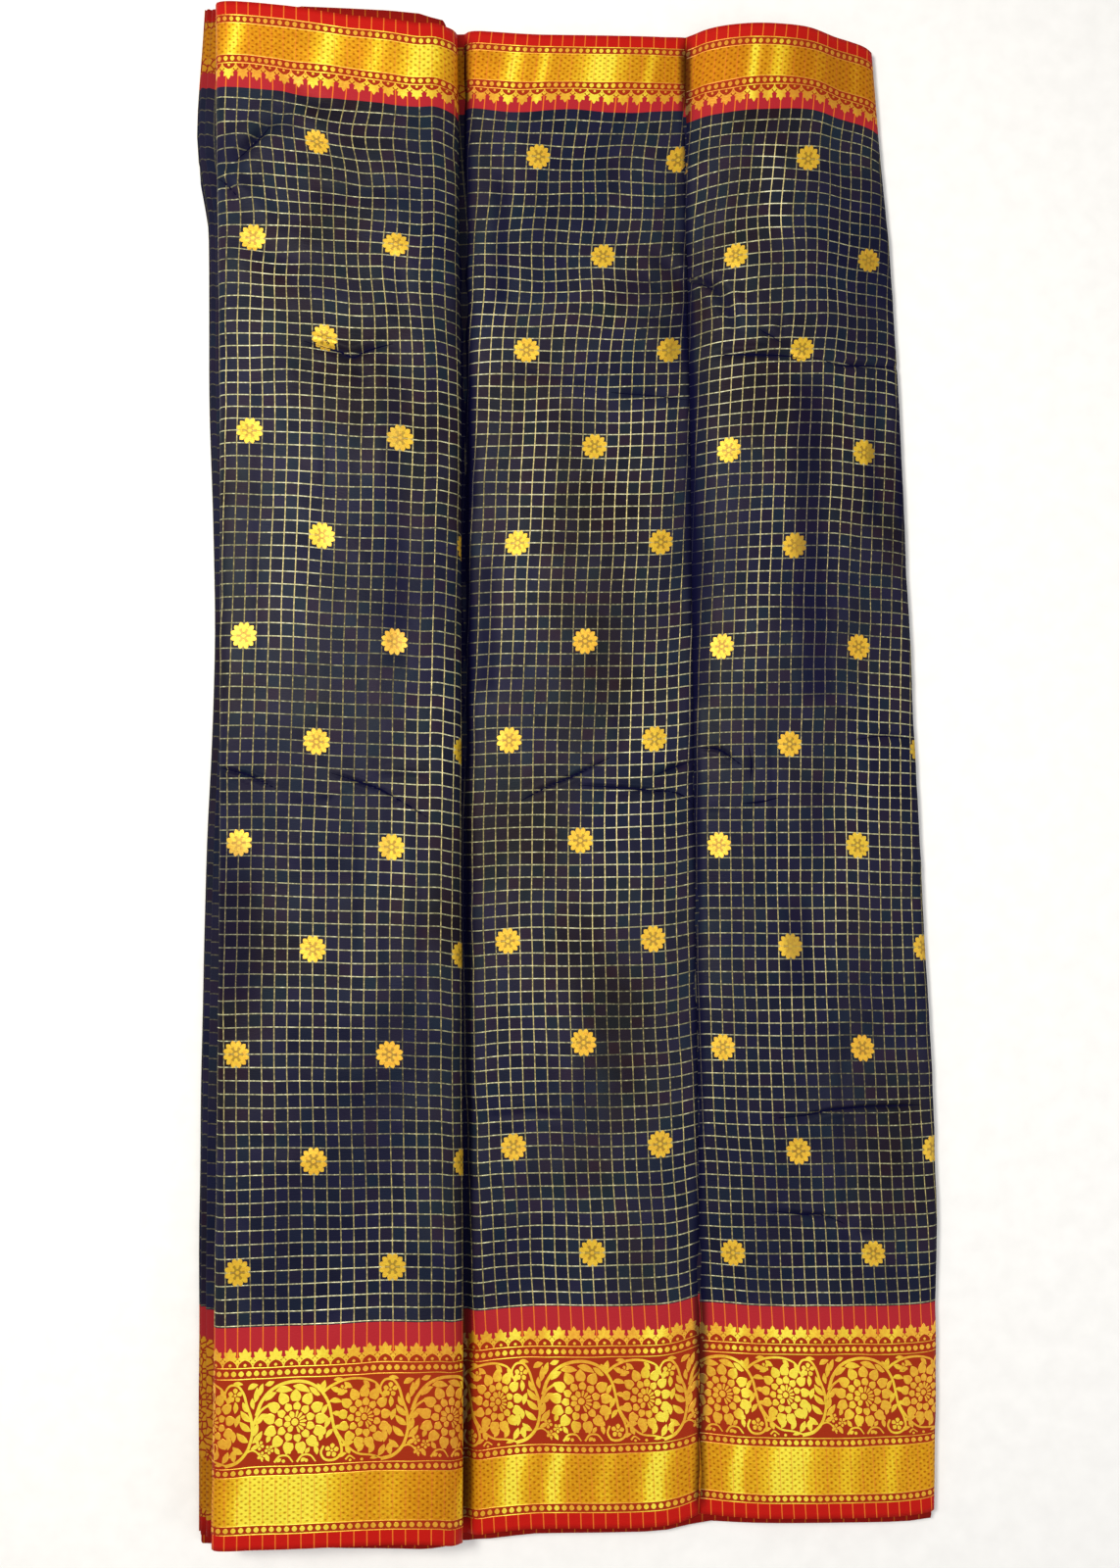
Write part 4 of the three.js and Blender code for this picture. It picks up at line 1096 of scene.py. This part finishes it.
# Leaves: foot, angle, length, width and bend
LEAVES = (
    (13, 48, 0.9, 10, 4.0, -0.6), (21, 55, 0.25, 12, 4.6, -0.5), (34, 58.2, -0.1, 13, 4.6, -0.55),
    (46, 57, -0.55, 9, 3.6, -0.5), (15, 43, 0.5, 8, 4.0, -0.9), (1, 40, 2.5, 9, 3.6, -0.7),
    (2, 33, 2.6, 11, 4.0, -0.6), (2, 26, 2.7, 11, 4.2, -0.6), (0, 18, 2.7, 11, 4.2, -0.6),
    (-4, 10, 2.8, 9, 3.8, -0.7), (-10, 4.5, 1.9, 7, 3.6, -0.5), (3.5, 22, 1.0, 10, 3.6, 0.5),
    (3, 17, 0.6, 11, 4.0, 0.5), (2, 12.8, 0.15, 7, 3.0, 0.6), (5, 31, 0.55, 9, 3.6, 0.5),
    (7.5, 35.5, 0.1, 7, 3.6, 0.5), (4, 42, 1.9, 8, 3.2, -0.5), (5, 47, 1.2, 11, 3.8, 0.4),
    (9, 52, 1.5, 9, 3.4, -0.4), (0, 57, 0.7, 8, 3.8, -0.6), (13, 60, 0.1, 7, 3.4, 0.4),
    (60, 44, -2.3, 9, 3.2, 0.5), (62.5, 34, -2.3, 9, 3.4, 0.5), (64, 25, -2.5, 8, 3.2, 0.5),
    (61, 46, 0.35, 9, 3.6, -0.9), (63, 37, 0.1, 8, 3.4, -0.9), (65, 27, -0.1, 7, 3.2, -0.8),
    (55, 53, 1.9, 7, 3.6, 0.2), (55, 54, 1.2, 8, 3.8, 0.1), (54, 51, 2.6, 6, 3.0, 0.3),
    (62, 56, -0.2, 8, 3.6, -0.6), (72, 60, -0.9, 7, 3.4, 0.5), (67, 51, 0.5, 7, 3.6, -0.4),
    (86, 60.4, -0.7, 7, 3.2, -0.4), (95, 57, -0.9, 8, 3.4, -0.3), (64, 62, 0.1, 7, 2.6, -0.2),
    (70, 12, 0.5, 9, 4.0, -0.4), (74, 14, 1.3, 8, 3.6, 0.3), (82, 7, 1.1, 7, 3.4, -0.4),
    (90, 6, 0.9, 8, 3.8, 0.5), (97, 4, 0.9, 9, 4, 0.4), (101, 14, 1.4, 10, 4.2, 0.4),
    (102, 8, 0.5, 9, 4, 0.6), (105, 19, 1.5, 8, 3.6, 0.3), (106.5, 30, 1.4, 9, 3.6, -0.4),
    (106, 40, 1.3, 8, 3.4, 0.5), (100, 47, 0.9, 7, 3.4, 0.5), (91, 2, 0.3, 7, 2.4, -0.3),
    (22, 2.2, 0.9, 4, 2.6, -0.6), (40, 2.2, 0.9, 4, 2.6, -0.6), (14, 17, 1.0, 6, 3.2, 0.4),
    (16, 3, 2.2, 6, 3, -0.4), (52, 7, 1.6, 7, 3.2, 0.5), (54, 17, 1.2, 6, 3.2, 0.3),
    (57, 21, 1.6, 6, 3, -0.3), (24, 8, 2.4, 6, 3.2, -0.5), (76, 6, 1.9, 6, 3.4, 0.4),
    (67, 4, 0.6, 7, 3, -0.5), (53, 13, 2.1, 5, 3, 0.4), (43, 8.5, 0.6, 5, 2.8, 0.5),
    (105, 62, 0.0, 7, 2.6, -0.3),
)
FLOWERS = (  # middle and size
    (-9.8, 53, 10.5), (63, 9.3, 10), (8.5, 15, 7.2), (16, 11.6, 7), (10, 7.2, 6.6), (71, 54.5, 7),
)
BLOSSOM_PLACES = ((35.5, 31.5, 47, 46), (86.5, 33, 38, 46))  # middle, width and height
LEAF_LONGER, LEAF_WIDER = 1.05, 1.18  # than in the table
BEADS = ((27, 3, 2.6), (44, 3, 2.6), (31.5, 9.2, 2.0), (38.5, 9.2, 2.0), (76.5, 1.4, 2.0), (85, 1.6, 2.2))


def meander_figures():
    """One repeat of the broad band: a great and a narrower blossom, vines that arch over them and curl round
    small flowers, and leaves that fill the ground. Places are along the cloth and up from the band's foot."""
    parts = sum((blossom(*row) for row in BLOSSOM_PLACES), [])
    parts += [vine(knots, width, 4 + 5 * len(knots)) for width, knots in VINES]
    for x, y, angle, length, width, bend in LEAVES:
        parts.append(leaf(x, y, angle, length * LEAF_LONGER, width * LEAF_WIDER, bend, blunt=0.45))
    for x, y, size in FLOWERS:
        parts += small_flower(x, y, size, x)
    return parts + [dot(*bead) for bead in BEADS]


# A palmette's lobes: turn, and length and width as shares of its size
LOBES = ((0, 0.53, 0.3), (0.72, 0.46, 0.26), (-0.72, 0.46, 0.26), (1.45, 0.37, 0.22), (-1.45, 0.37, 0.22))


def palmette(x, y, up, size):
    """A broad leaf of five lobes: a long middle one and two shorter ones on each side. up is 1 or -1."""
    return [
        leaf(x, y, up * (np.pi / 2 + turn), size * long, size * wide, points=6, foot=0.4)
        for turn, long, wide in LOBES
    ]


PALMETTE_PITCH, DOT_PITCH = CHECK * 1.2, CHECK * 0.6
ARC_WIDTH = 1.2  # of the arcs that the palmettes stand on
BORDER_LINE_WIDTH, LINE_STEP = 0.9, 3
PALMETTE_FOOT = 0.4  # height of a palmette's foot over the row's, as a share of its size
# Dots between two palmettes and under each: share of the pitch across, and height and size as shares of
# the palmette's size
ROW_DOTS = ((-0.5, 0.3, 0.19), (0, 0.12, 0.15))
# A half arc under a palmette: shares of the pitch across and of the palmette's size up
HALF_ARC = ((-0.52, 0.02), (-0.42, 0.2), (-0.2, 0.33), (0.06, 0.4))


def leaf_row(base, up, size, s_from, s_to):
    """A row of palmettes on crossing arcs, with a dot in every arch."""
    parts = []
    for k in range(int(np.floor(s_from / PALMETTE_PITCH)), int(np.ceil(s_to / PALMETTE_PITCH)) + 1):
        x = (k + 0.5) * PALMETTE_PITCH
        parts += palmette(x, base + up * size * PALMETTE_FOOT, up, size)
        for across, out, spot in ROW_DOTS:
            parts.append(dot(x + across * PALMETTE_PITCH, base + up * size * out, size * spot))
        for side in (-1, 1):
            knots = [(x + side * across * PALMETTE_PITCH, base + up * size * out) for across, out in HALF_ARC]
            parts.append(vine(knots, ARC_WIDTH, points=7))
    return parts


def dot_row(w, size, s_from, s_to):
    """A row of round spots."""
    numbers = np.arange(np.floor(s_from / DOT_PITCH), np.ceil(s_to / DOT_PITCH) + 1)
    return [dot((k + 0.5) * DOT_PITCH, w, size) for k in numbers]


def border_line(w, s_from, s_to):
    """A straight raised line along a border."""
    s = np.linspace(s_from, s_to, int((s_to - s_from) / LINE_STEP) + 2)
    return [np.stack([s, np.full_like(s, w), np.full_like(s, BORDER_LINE_WIDTH / 2)], axis=1)]


# Figures of both borders, counted in from the cloth's edge: the foot and size of the palmettes, the places
# and sizes of the rows of spots, and the places of the lines. inward is the way from that edge into the cloth
BORDER_FIGURES = {
    "lower": {
        "edge": 0.0, "inward": 1, "palmettes": (135.6, 15.2), "dots": ((15.2, 3.9), (58.3, 3.9), (131.2, 4)),
        "lines": (11.8, 18.5, 54.9, 61.7, 127.2, 135.2),
    },
    "upper": {
        "edge": CLOTH_WIDTH, "inward": -1, "palmettes": (46.0, 13.2), "dots": ((13.1, 3.5), (42.7, 3.6)),
        "lines": (10.1, 16.0, 39.6, 45.8),
    },
}


def border_figures(border, s_from, s_to):
    """Palmettes, spots and lines of a border along a stretch of the cloth."""
    table = BORDER_FIGURES[border]
    edge, inward, (foot, size) = table["edge"], table["inward"], table["palmettes"]
    parts = leaf_row(edge + inward * foot, inward, size, s_from, s_to)
    for place, size in table["dots"]:
        parts += dot_row(edge + inward * place, size, s_from, s_to)
    for place in table["lines"]:
        parts += border_line(edge + inward * place, s_from, s_to)
    return parts


def lower_border_figures(s_from, s_to):
    """The lower border's figures with its meanders, without the parts that lie wholly beyond the stretch."""
    parts, figures = border_figures("lower", s_from, s_to), meander_figures()
    for repeat in range(int(np.floor(s_from / MEANDER_REPEAT)) - 1, int(np.ceil(s_to / MEANDER_REPEAT)) + 1):
        parts += [part + (repeat * MEANDER_REPEAT + MEANDER_START, MEANDER_FOOT, 0) for part in figures]
    return [part for part in parts if part[:, 0].max() > s_from and part[:, 0].min() < s_to]


BUTTA_SIZE = 20.0
BUTTA_ROWS, BUTTA_FIRST, BUTTA_EVERY = 12, 3, 8  # rows, squares down to the first, and from each to the next
BUTTA_STEP = CHECK * 6  # along the cloth, from a flower to the next ones in the rows beside it
# Where the woven flowers stand along the cloth, in steps, in odd and in even rows
BUTTA_COLUMNS = {
    "left": ((1, 3), (0, 2)), "centre": ((-2, 0, 2, 4), (-1, 1, 3)), "right": ((-2, 0, 2, 4), (-1, 1, 3)),
}
BUTTAS_UNDER = ((1, 3), (3, 3))  # rows and steps of those that lie under the roll


def butta_places(name):
    """s and w of every flower on a pleat."""
    top = FIELD_TOP - FIRST_LINE - CHECK * BUTTA_FIRST
    return [
        (step * BUTTA_STEP, top - CHECK * BUTTA_EVERY * (row - 1))
        for row in range(1, BUTTA_ROWS + 1) for step in BUTTA_COLUMNS[name][(row + 1) % 2]
        if (row, step) not in BUTTAS_UNDER
    ]


FIGURE_HEIGHT = 0.13
FIGURE_REACH = 0.499  # from a pleat's middle to where its figures are cut, as a share of its arc
UNDER_HEIGHT, UNDER_SHADE = 0.07, 0.62  # of the ground that shows between the petals of a flower
LIFTS, LIFT = 7, 0.006  # overlapping parts lie at slightly different heights
LINE_POINTS, LINE_WIDEST = 12, 0.6  # parts with more points and less half-width are vines and lines


def add_figures(name, pleat, parts, slot_name, under=(), even=0.0, deep=0.0):
    """Puts figures on a pleat as one piece, and under them lower and darker ones. Parts that reach past its
    edges are cut there."""
    strips = Strips(pleat, even=even)
    for layer, base, shade in ((under, UNDER_HEIGHT, UNDER_SHADE), (parts, FIGURE_HEIGHT, deep)):
        strips.deep = shade
        for size in sorted({len(part) for part in layer}):
            block = np.stack([part for part in layer if len(part) == size])
            s, w, half = block[..., 0], block[..., 1], block[..., 2]
            inside = np.abs(find_weave(pleat, s, w)[1] - 0.5) < FIGURE_REACH
            whole = inside.all(axis=1)
            height = base + LIFT * (np.arange(len(block)) % LIFTS)[:, None]
            section = RIDGE if size > LINE_POINTS and half.max() < LINE_WIDEST else FLAT_TOP
            if whole.any():
                strips.add(s[whole], w[whole], half[whole], height[whole], section)
            for k in np.flatnonzero(~whole):
                for a, b in runs_of(inside[k]):
                    strips.add(s[None, k, a:b], w[None, k, a:b], half[None, k, a:b], height[k], section)
    return strips.piece(name, ZARI, slot_name)


# ---------------------------------------------------------------------------------------------- hidden layers
FOLDED_TONES = (0.1, 0.4, 0.0)  # the hidden layers lie in the shade
FOLDED_THICKNESS = 0.32
FOLDED_ROWS, TURN_POINTS = 58, 6  # rows of the grid up the cloth, and its columns in each turn
TURN_GAP, TURN_LENGTH, TURN_ROOM = 2, 2, 3  # of the weave: before a turn, in it, and on to the next layer
# Soft unevenness of the layers' folds and ends: depth, seed of the lowest layer and wavelength
BASE_LEFT, BASE_RIGHT, STACK_LEFT = (0.5, 40, 160), (0.3, 50, 140), (0.4, 80, 130)
BASE_LOW, BASE_HIGH = (0.3, 60, 90), (0.3, 70, 90)


def uneven(place, k, depth, seed, wavelength):
    """The unevenness of layer k at places along one of its folds or ends."""
    return depth * ripple(place, 0, seed + k, wavelength)


def folded_strip(name, layers, left, right, height, ends, steps):
    """Cloth folded to and fro in layers, as one strip. left and right give X of each layer's fold, height its
    Z at a place, and ends Y of both ends; each fold is half a circle between two layers."""
    up = np.linspace(0, CLOTH_WIDTH, FOLDED_ROWS)[:, None]
    blocks, weave = [], []

    def add_block(x, z, s, low, high):
        y = low + (high - low) * up / CLOTH_WIDTH
        blocks.append(np.stack(np.broadcast_arrays(x, y, z), axis=-1))
        weave.append(np.stack(np.broadcast_arrays(s, up), axis=-1))

    run = 0.0
    for k in range(layers):
        share = np.linspace(0, 1, steps)[None]
        share = 1 - share if k % 2 else share
        x = left(k, up) + (right(k, up) - left(k, up)) * share
        s = run + np.abs(x - x[:, :1])
        add_block(x, height(k, x, up), s, *ends(k, x))
        if k + 1 == layers:
            break
        run = float(s[:, -1].mean()) + TURN_GAP
        edge, side = (left, -1) if k % 2 else (right, 1)
        t = np.linspace(0, 1, TURN_POINTS + 2)[None, 1:-1]
        from_x, to_x = edge(k, up), edge(k + 1, up)
        from_z, to_z = height(k, from_x, up), height(k + 1, to_x, up)
        reach = (to_z - from_z) / 2
        x = from_x + (to_x - from_x) * t + side * reach * np.sin(np.pi * t)
        z = (from_z + to_z) / 2 - reach * np.cos(np.pi * t)
        low, high = (a + (b - a) * t for a, b in zip(ends(k, from_x), ends(k + 1, to_x)))
        add_block(x, z, run + TURN_LENGTH * t, low, high)
        run += TURN_ROOM
    points, weave = np.concatenate(blocks, axis=1), np.concatenate(weave, axis=1)
    tones = np.broadcast_to(np.array(FOLDED_TONES), points.shape)
    made = add_mesh(name, points, [grid_faces(*points.shape[:2])], FOLDED_SILK, weave, tones)
    return solidify(made, FOLDED_THICKNESS, 0), lengths_along(points, axis=1)[:, -1].mean()


# How far each layer stands out beyond the outline above it: at its side, its top and its bottom
BASE = (
    (-1.5, 1, 4), (-0.5, -1.5, 8), (-3.5, -0.5, 5), (-1, -2, 3), (-2.4, 0.4, 6.4), (-1.6, -1, -1),
)
STACK = (
    (-0.4, -1, -2), (-2.6, -2, -1), (-4.4, -1.2, -2.4), (-7.6, -2.2, -1.2), (-10.6, -1.4, -2),
    (1.6, -1, -2), (2.4, -1.8, -1), (2, -2.6, -2.4),
)
STACK_FLOOR = 10.9
CREASE_ROOM = 4.0  # between the stack and the left pleat's face
# How far the stack's top layer shows past the left pleat's ends: share across, at the upper and the lower end
PEEK = np.array((
    (0.24, 0, 0), (0.36, 7, 4), (0.54, 11, 6.2), (0.72, 12.6, 7.6), (0.845, 13.6, 8.2), (0.91, 9.6, 7),
    (0.958, 7.6, 5),
)).T
STACK_SHOWN = 5  # layers of the stack whose folds stand out to the lip
FOLDED_IN = 5.4  # how far the others stay behind the left pleat's edge


def end_lines(*parts):
    """X and Y of points along the cloth's lower and upper end, from the bends of the pleats above."""
    lines = []
    for up, column in ((0, 5), (CLOTH_WIDTH, 4)):
        x, y = [], []
        for name, rows in parts:
            bends = np.array(PLEATS[name]["bends"][rows], float)
            start, end = sides_of(name, up)
            x.extend(start + (end - start) * bends[:, 0])
            y.extend(bends[:, column])
        order = np.argsort(x)
        lines.append((np.array(x)[order], np.array(y)[order]))
    return lines


LEFT_TOP = slice(3, 12)  # the bends over the top of the left pleat
BASE_ENDS = end_lines(("centre", slice(1, None)), ("right", slice(0, -1)))
STACK_ENDS = end_lines(("left", LEFT_TOP))
BASE_ROOM = 10.6  # height of the base layers under the stack
BASE_SHARE = 0.78  # of the height under the pleats; the rest is room for their creases
STACK_EDGE = -100.6  # X where the base layers step down from under the stack


def share_at(name, x, up):
    """The share of the way across a pleat at X."""
    start, end = sides_of(name, up)
    return (x - start) / (end - start)


def height_over(name, rows, x, up):
    """Height of a pleat at X, straight across between those of its bends that are in rows, and whether X lies
    within them."""
    across, high, mid, low = np.array(PLEATS[name]["bends"][rows], float).T[:4]
    z = parabola(low, mid, high, up[:, :1] / CLOTH_WIDTH)
    here = share_at(name, x, up[:, :1])
    apart = 4.0 * np.arange(len(z))[:, None]  # sets the rows apart, so that one call finds them all
    at, known = np.clip(here, across[0], across[-1]) + apart, across[None] + apart
    found = np.interp(at.ravel(), known.ravel(), z.ravel()).reshape(x.shape)
    return found, (here >= across[0]) & (here <= across[-1] + 0.1)


def base_height(k, x, up):
    """Height of a base layer: its share of the room under the pleats, which is level under the stack and
    follows the two right-hand pleats beyond it."""
    x, up = np.broadcast_arrays(x, up)
    room = np.full(x.shape, BASE_ROOM)
    for name, rows in (("centre", slice(None)), ("right", slice(0, -1))):
        found, inside = height_over(name, rows, x, up)
        room = np.where(inside, found * BASE_SHARE, room)
    return np.where(x < STACK_EDGE, BASE_ROOM, room) * (k + 0.5) / len(BASE)


SET_BACK, STAGGER = 2.6, 0.7  # of the base layers' right folds behind the right fold line


def base_folds():
    """The layers under the whole bundle, folded to and fro between the lip and the right fold."""
    def left(k, up):
        return fold_line("lip", up) - BASE[k][0] + uneven(up, k, *BASE_LEFT)

    def right(k, up):
        return fold_line("right", up) - SET_BACK - STAGGER * (k % 3) + uneven(up, k, *BASE_RIGHT)

    def ends(k, x):
        low = np.interp(x, *BASE_ENDS[0]) - BASE[k][2] + uneven(x, k, *BASE_LOW)
        high = np.interp(x, *BASE_ENDS[1]) + BASE[k][1] + uneven(x, k, *BASE_HIGH)
        return low, high

    return folded_strip("base_folds", len(BASE), left, right, base_height, ends, steps=34)


def stack_height(k, x, up):
    """Height of a stack layer: its share of the room between the base and the left pleat's top."""
    found, _ = height_over("left", LEFT_TOP, *np.broadcast_arrays(x, up))
    return STACK_FLOOR + (found - CREASE_ROOM - STACK_FLOOR) * (k + 0.5) / len(STACK)


# The inside of the roll, which the stack's folds follow: heights, and the share across the left pleat there
ROLL_INSIDE = ((8.4, 9.2, 12.3, 17.6, 23.8, 29.8, 34, 36), (0.9, 0.95, 0.985, 1, 0.99, 0.958, 0.91, 0.845))
ROLL_WALL = 4.5  # from the roll's outside to the stack's folds
ROLL_FROM = 0.9  # share across the left pleat where the layers' heights are taken for their folds
CORNER_RISE, CORNER_REACH = 8.0, 22.0  # how far the lip's upper corner stands out upwards, and its width


def stack_folds():
    """The layers under the left pleat. The lower ones reach out to the lip, where their upper corner stands
    out, and the top one shows beyond both ends of the left pleat."""
    def left(k, up):
        edge = fold_line("lip", up) if k < STACK_SHOWN else fold_line("left", up) + FOLDED_IN
        return edge - STACK[k][0] + uneven(up, k, *STACK_LEFT)

    def right(k, up):
        start, end = sides_of("left", up)
        z = stack_height(k, start + ROLL_FROM * (end - start), up)
        return start + (end - start) * np.interp(z, *ROLL_INSIDE) - ROLL_WALL

    def ends(k, x):
        low = np.interp(x, *STACK_ENDS[0]) - STACK[k][2]
        high = np.interp(x, *STACK_ENDS[1]) + STACK[k][1]
        if k == len(STACK) - 1:
            high = high + np.interp(share_at("left", x, CLOTH_WIDTH), PEEK[0], PEEK[1])
            low = low - np.interp(share_at("left", x, 0), PEEK[0], PEEK[2])
        if k < STACK_SHOWN:
            high = high + CORNER_RISE * np.clip(1 - (x - FOLD_LINES["lip"][-1]) / CORNER_REACH, 0, 1)
        return low, high

    return folded_strip("stack_folds", len(STACK), left, right, stack_height, ends, steps=20)


# ---------------------------------------------------------------------------------------------- assembling
FLOWER_EVEN, FLOWER_SHADE = 0.7, 0.16  # how evenly the flowers' painted sheen is drawn to one value, and how much duller than the borders


def build_pleat(name):
    """One pleat's cloth with its raised check and gold figures."""
    pleat = make_pleat(name)
    weave = np.stack([pleat["s"], pleat["w"]], axis=-1)
    tones = tones_at(pleat, pleat["rows"][:, None], pleat["share"][None], pleat["w"])
    faces = grid_faces(*pleat["s"].shape)
    cloth = add_mesh(f"{name}_pleat", pleat["points"], [faces], SILK, weave, tones)
    solidify(cloth, SILK_THICKNESS)
    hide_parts(*(f"{name}_pleat_{part}" for part in ("lower_border", "field", "upper_border")))
    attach(cloth, "root")
    s_from, s_to = pleat["s"].min(), pleat["s"].max()
    laid = [check_threads(pleat), crease_shadow_lines(pleat)]
    places = butta_places(name)
    flowers, grounds = (
        sum((rings(s, w, BUTTA_SIZE, *figure) for s, w in places), []) for figure in (BUTTA, BUTTA_GROUND)
    )
    for title, parts, slot_name, *look in (
        ("lower_border_figures", lower_border_figures(s_from, s_to), "lower_border"),
        ("upper_border_figures", border_figures("upper", s_from, s_to), "upper_border"),
        ("flowers", flowers, "field", grounds, FLOWER_EVEN, FLOWER_SHADE),
    ):
        laid.append(add_figures(f"{name}_{title}", pleat, parts, slot_name, *look))


FLOOR_HALF, FLOOR_DROP = 6.0, 0.0005  # metres
FLOOR_PAPER = ((0.3, "#f2f2f0"), (0.7, "#f7f7f5"))
# Lights that shine on the origin: name, place and size in metres, power in watts and colour
LIGHTS = (
    ("key_light", (-0.85, 0.4, 1.6), 0.5, 28, "#fffaf2"),
    ("top_light", (0.3, -0.2, 1.9), 1.2, 8, "#fff6ea"),
    ("right_light", (1.5, -0.5, 1.0), 0.9, 5, "#f2f6ff"),
)
ROOM_COLOUR, ROOM_STRENGTH = "#f4f6fa", 0.4
LENS, SENSOR = 28.125, 36.0
CAMERA_AWAY, CAMERA_OVER, CAMERA_TILT = 948.0, 10.0, np.radians(2.5)  # from a point this high over the plan


def make_stage():
    """Plain pale floor, soft studio light and the camera."""
    mesh = bpy.data.meshes.new("floor")
    corners = [(x * FLOOR_HALF, y * FLOOR_HALF, -FLOOR_DROP) for x, y in ((-1, -1), (1, -1), (1, 1), (-1, 1))]
    mesh.from_pydata(corners, [], [(0, 1, 2, 3)])
    place_object("floor", mesh)
    material, tree, shader = new_material("matt white backdrop paper")
    place = add_node(tree, "TexCoord").outputs["Object"]
    grain = add_node(tree, "TexNoise", Vector=place, Scale=60.0, Detail=2.0)
    tone = add_node(tree, "ValToRGB", grain, stops=FLOOR_PAPER)
    connect(tree, shader, named={"Base Color": tone, "Roughness": 0.9})
    mesh.materials.append(material)

    for name, place, size, power, colour in LIGHTS:
        lamp = bpy.data.lights.new(name, "AREA")
        lamp.size, lamp.energy, lamp.color = size, power, linear(colour)[:3]
        x, y, z = place
        place_object(name, lamp, place, (np.arctan2(np.hypot(x, y), z), 0.0, np.arctan2(-y, -x) - np.pi / 2))
    world = bpy.data.worlds.new("soft room")
    bpy.context.scene.world = world
    world.use_nodes = True
    connect(world.node_tree, world.node_tree.nodes["Background"], (linear(ROOM_COLOUR), ROOM_STRENGTH))

    camera = bpy.data.cameras.new("camera")
    camera.lens, camera.sensor_width, camera.sensor_fit = LENS, SENSOR, "AUTO"
    camera.clip_start, camera.clip_end = 0.01, 50.0
    away = CAMERA_AWAY * np.array([0.0, -np.sin(CAMERA_TILT), np.cos(CAMERA_TILT)])
    place = (away + (0, 0, CAMERA_OVER) - MIDDLE) / 1000
    bpy.context.scene.camera = place_object("camera", camera, place, (CAMERA_TILT, 0.0, 0.0))
    bpy.context.scene.view_settings.view_transform = "Standard"


make_stage()
for make, under in ((base_folds, ()), (stack_folds, ("base_folds",))):
    folds, length = make()
    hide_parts("hidden_layers")
    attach(folds, "root")
for name, under in (("left", "stack_folds"), ("centre", "base_folds"), ("right", "base_folds")):
    build_pleat(name)
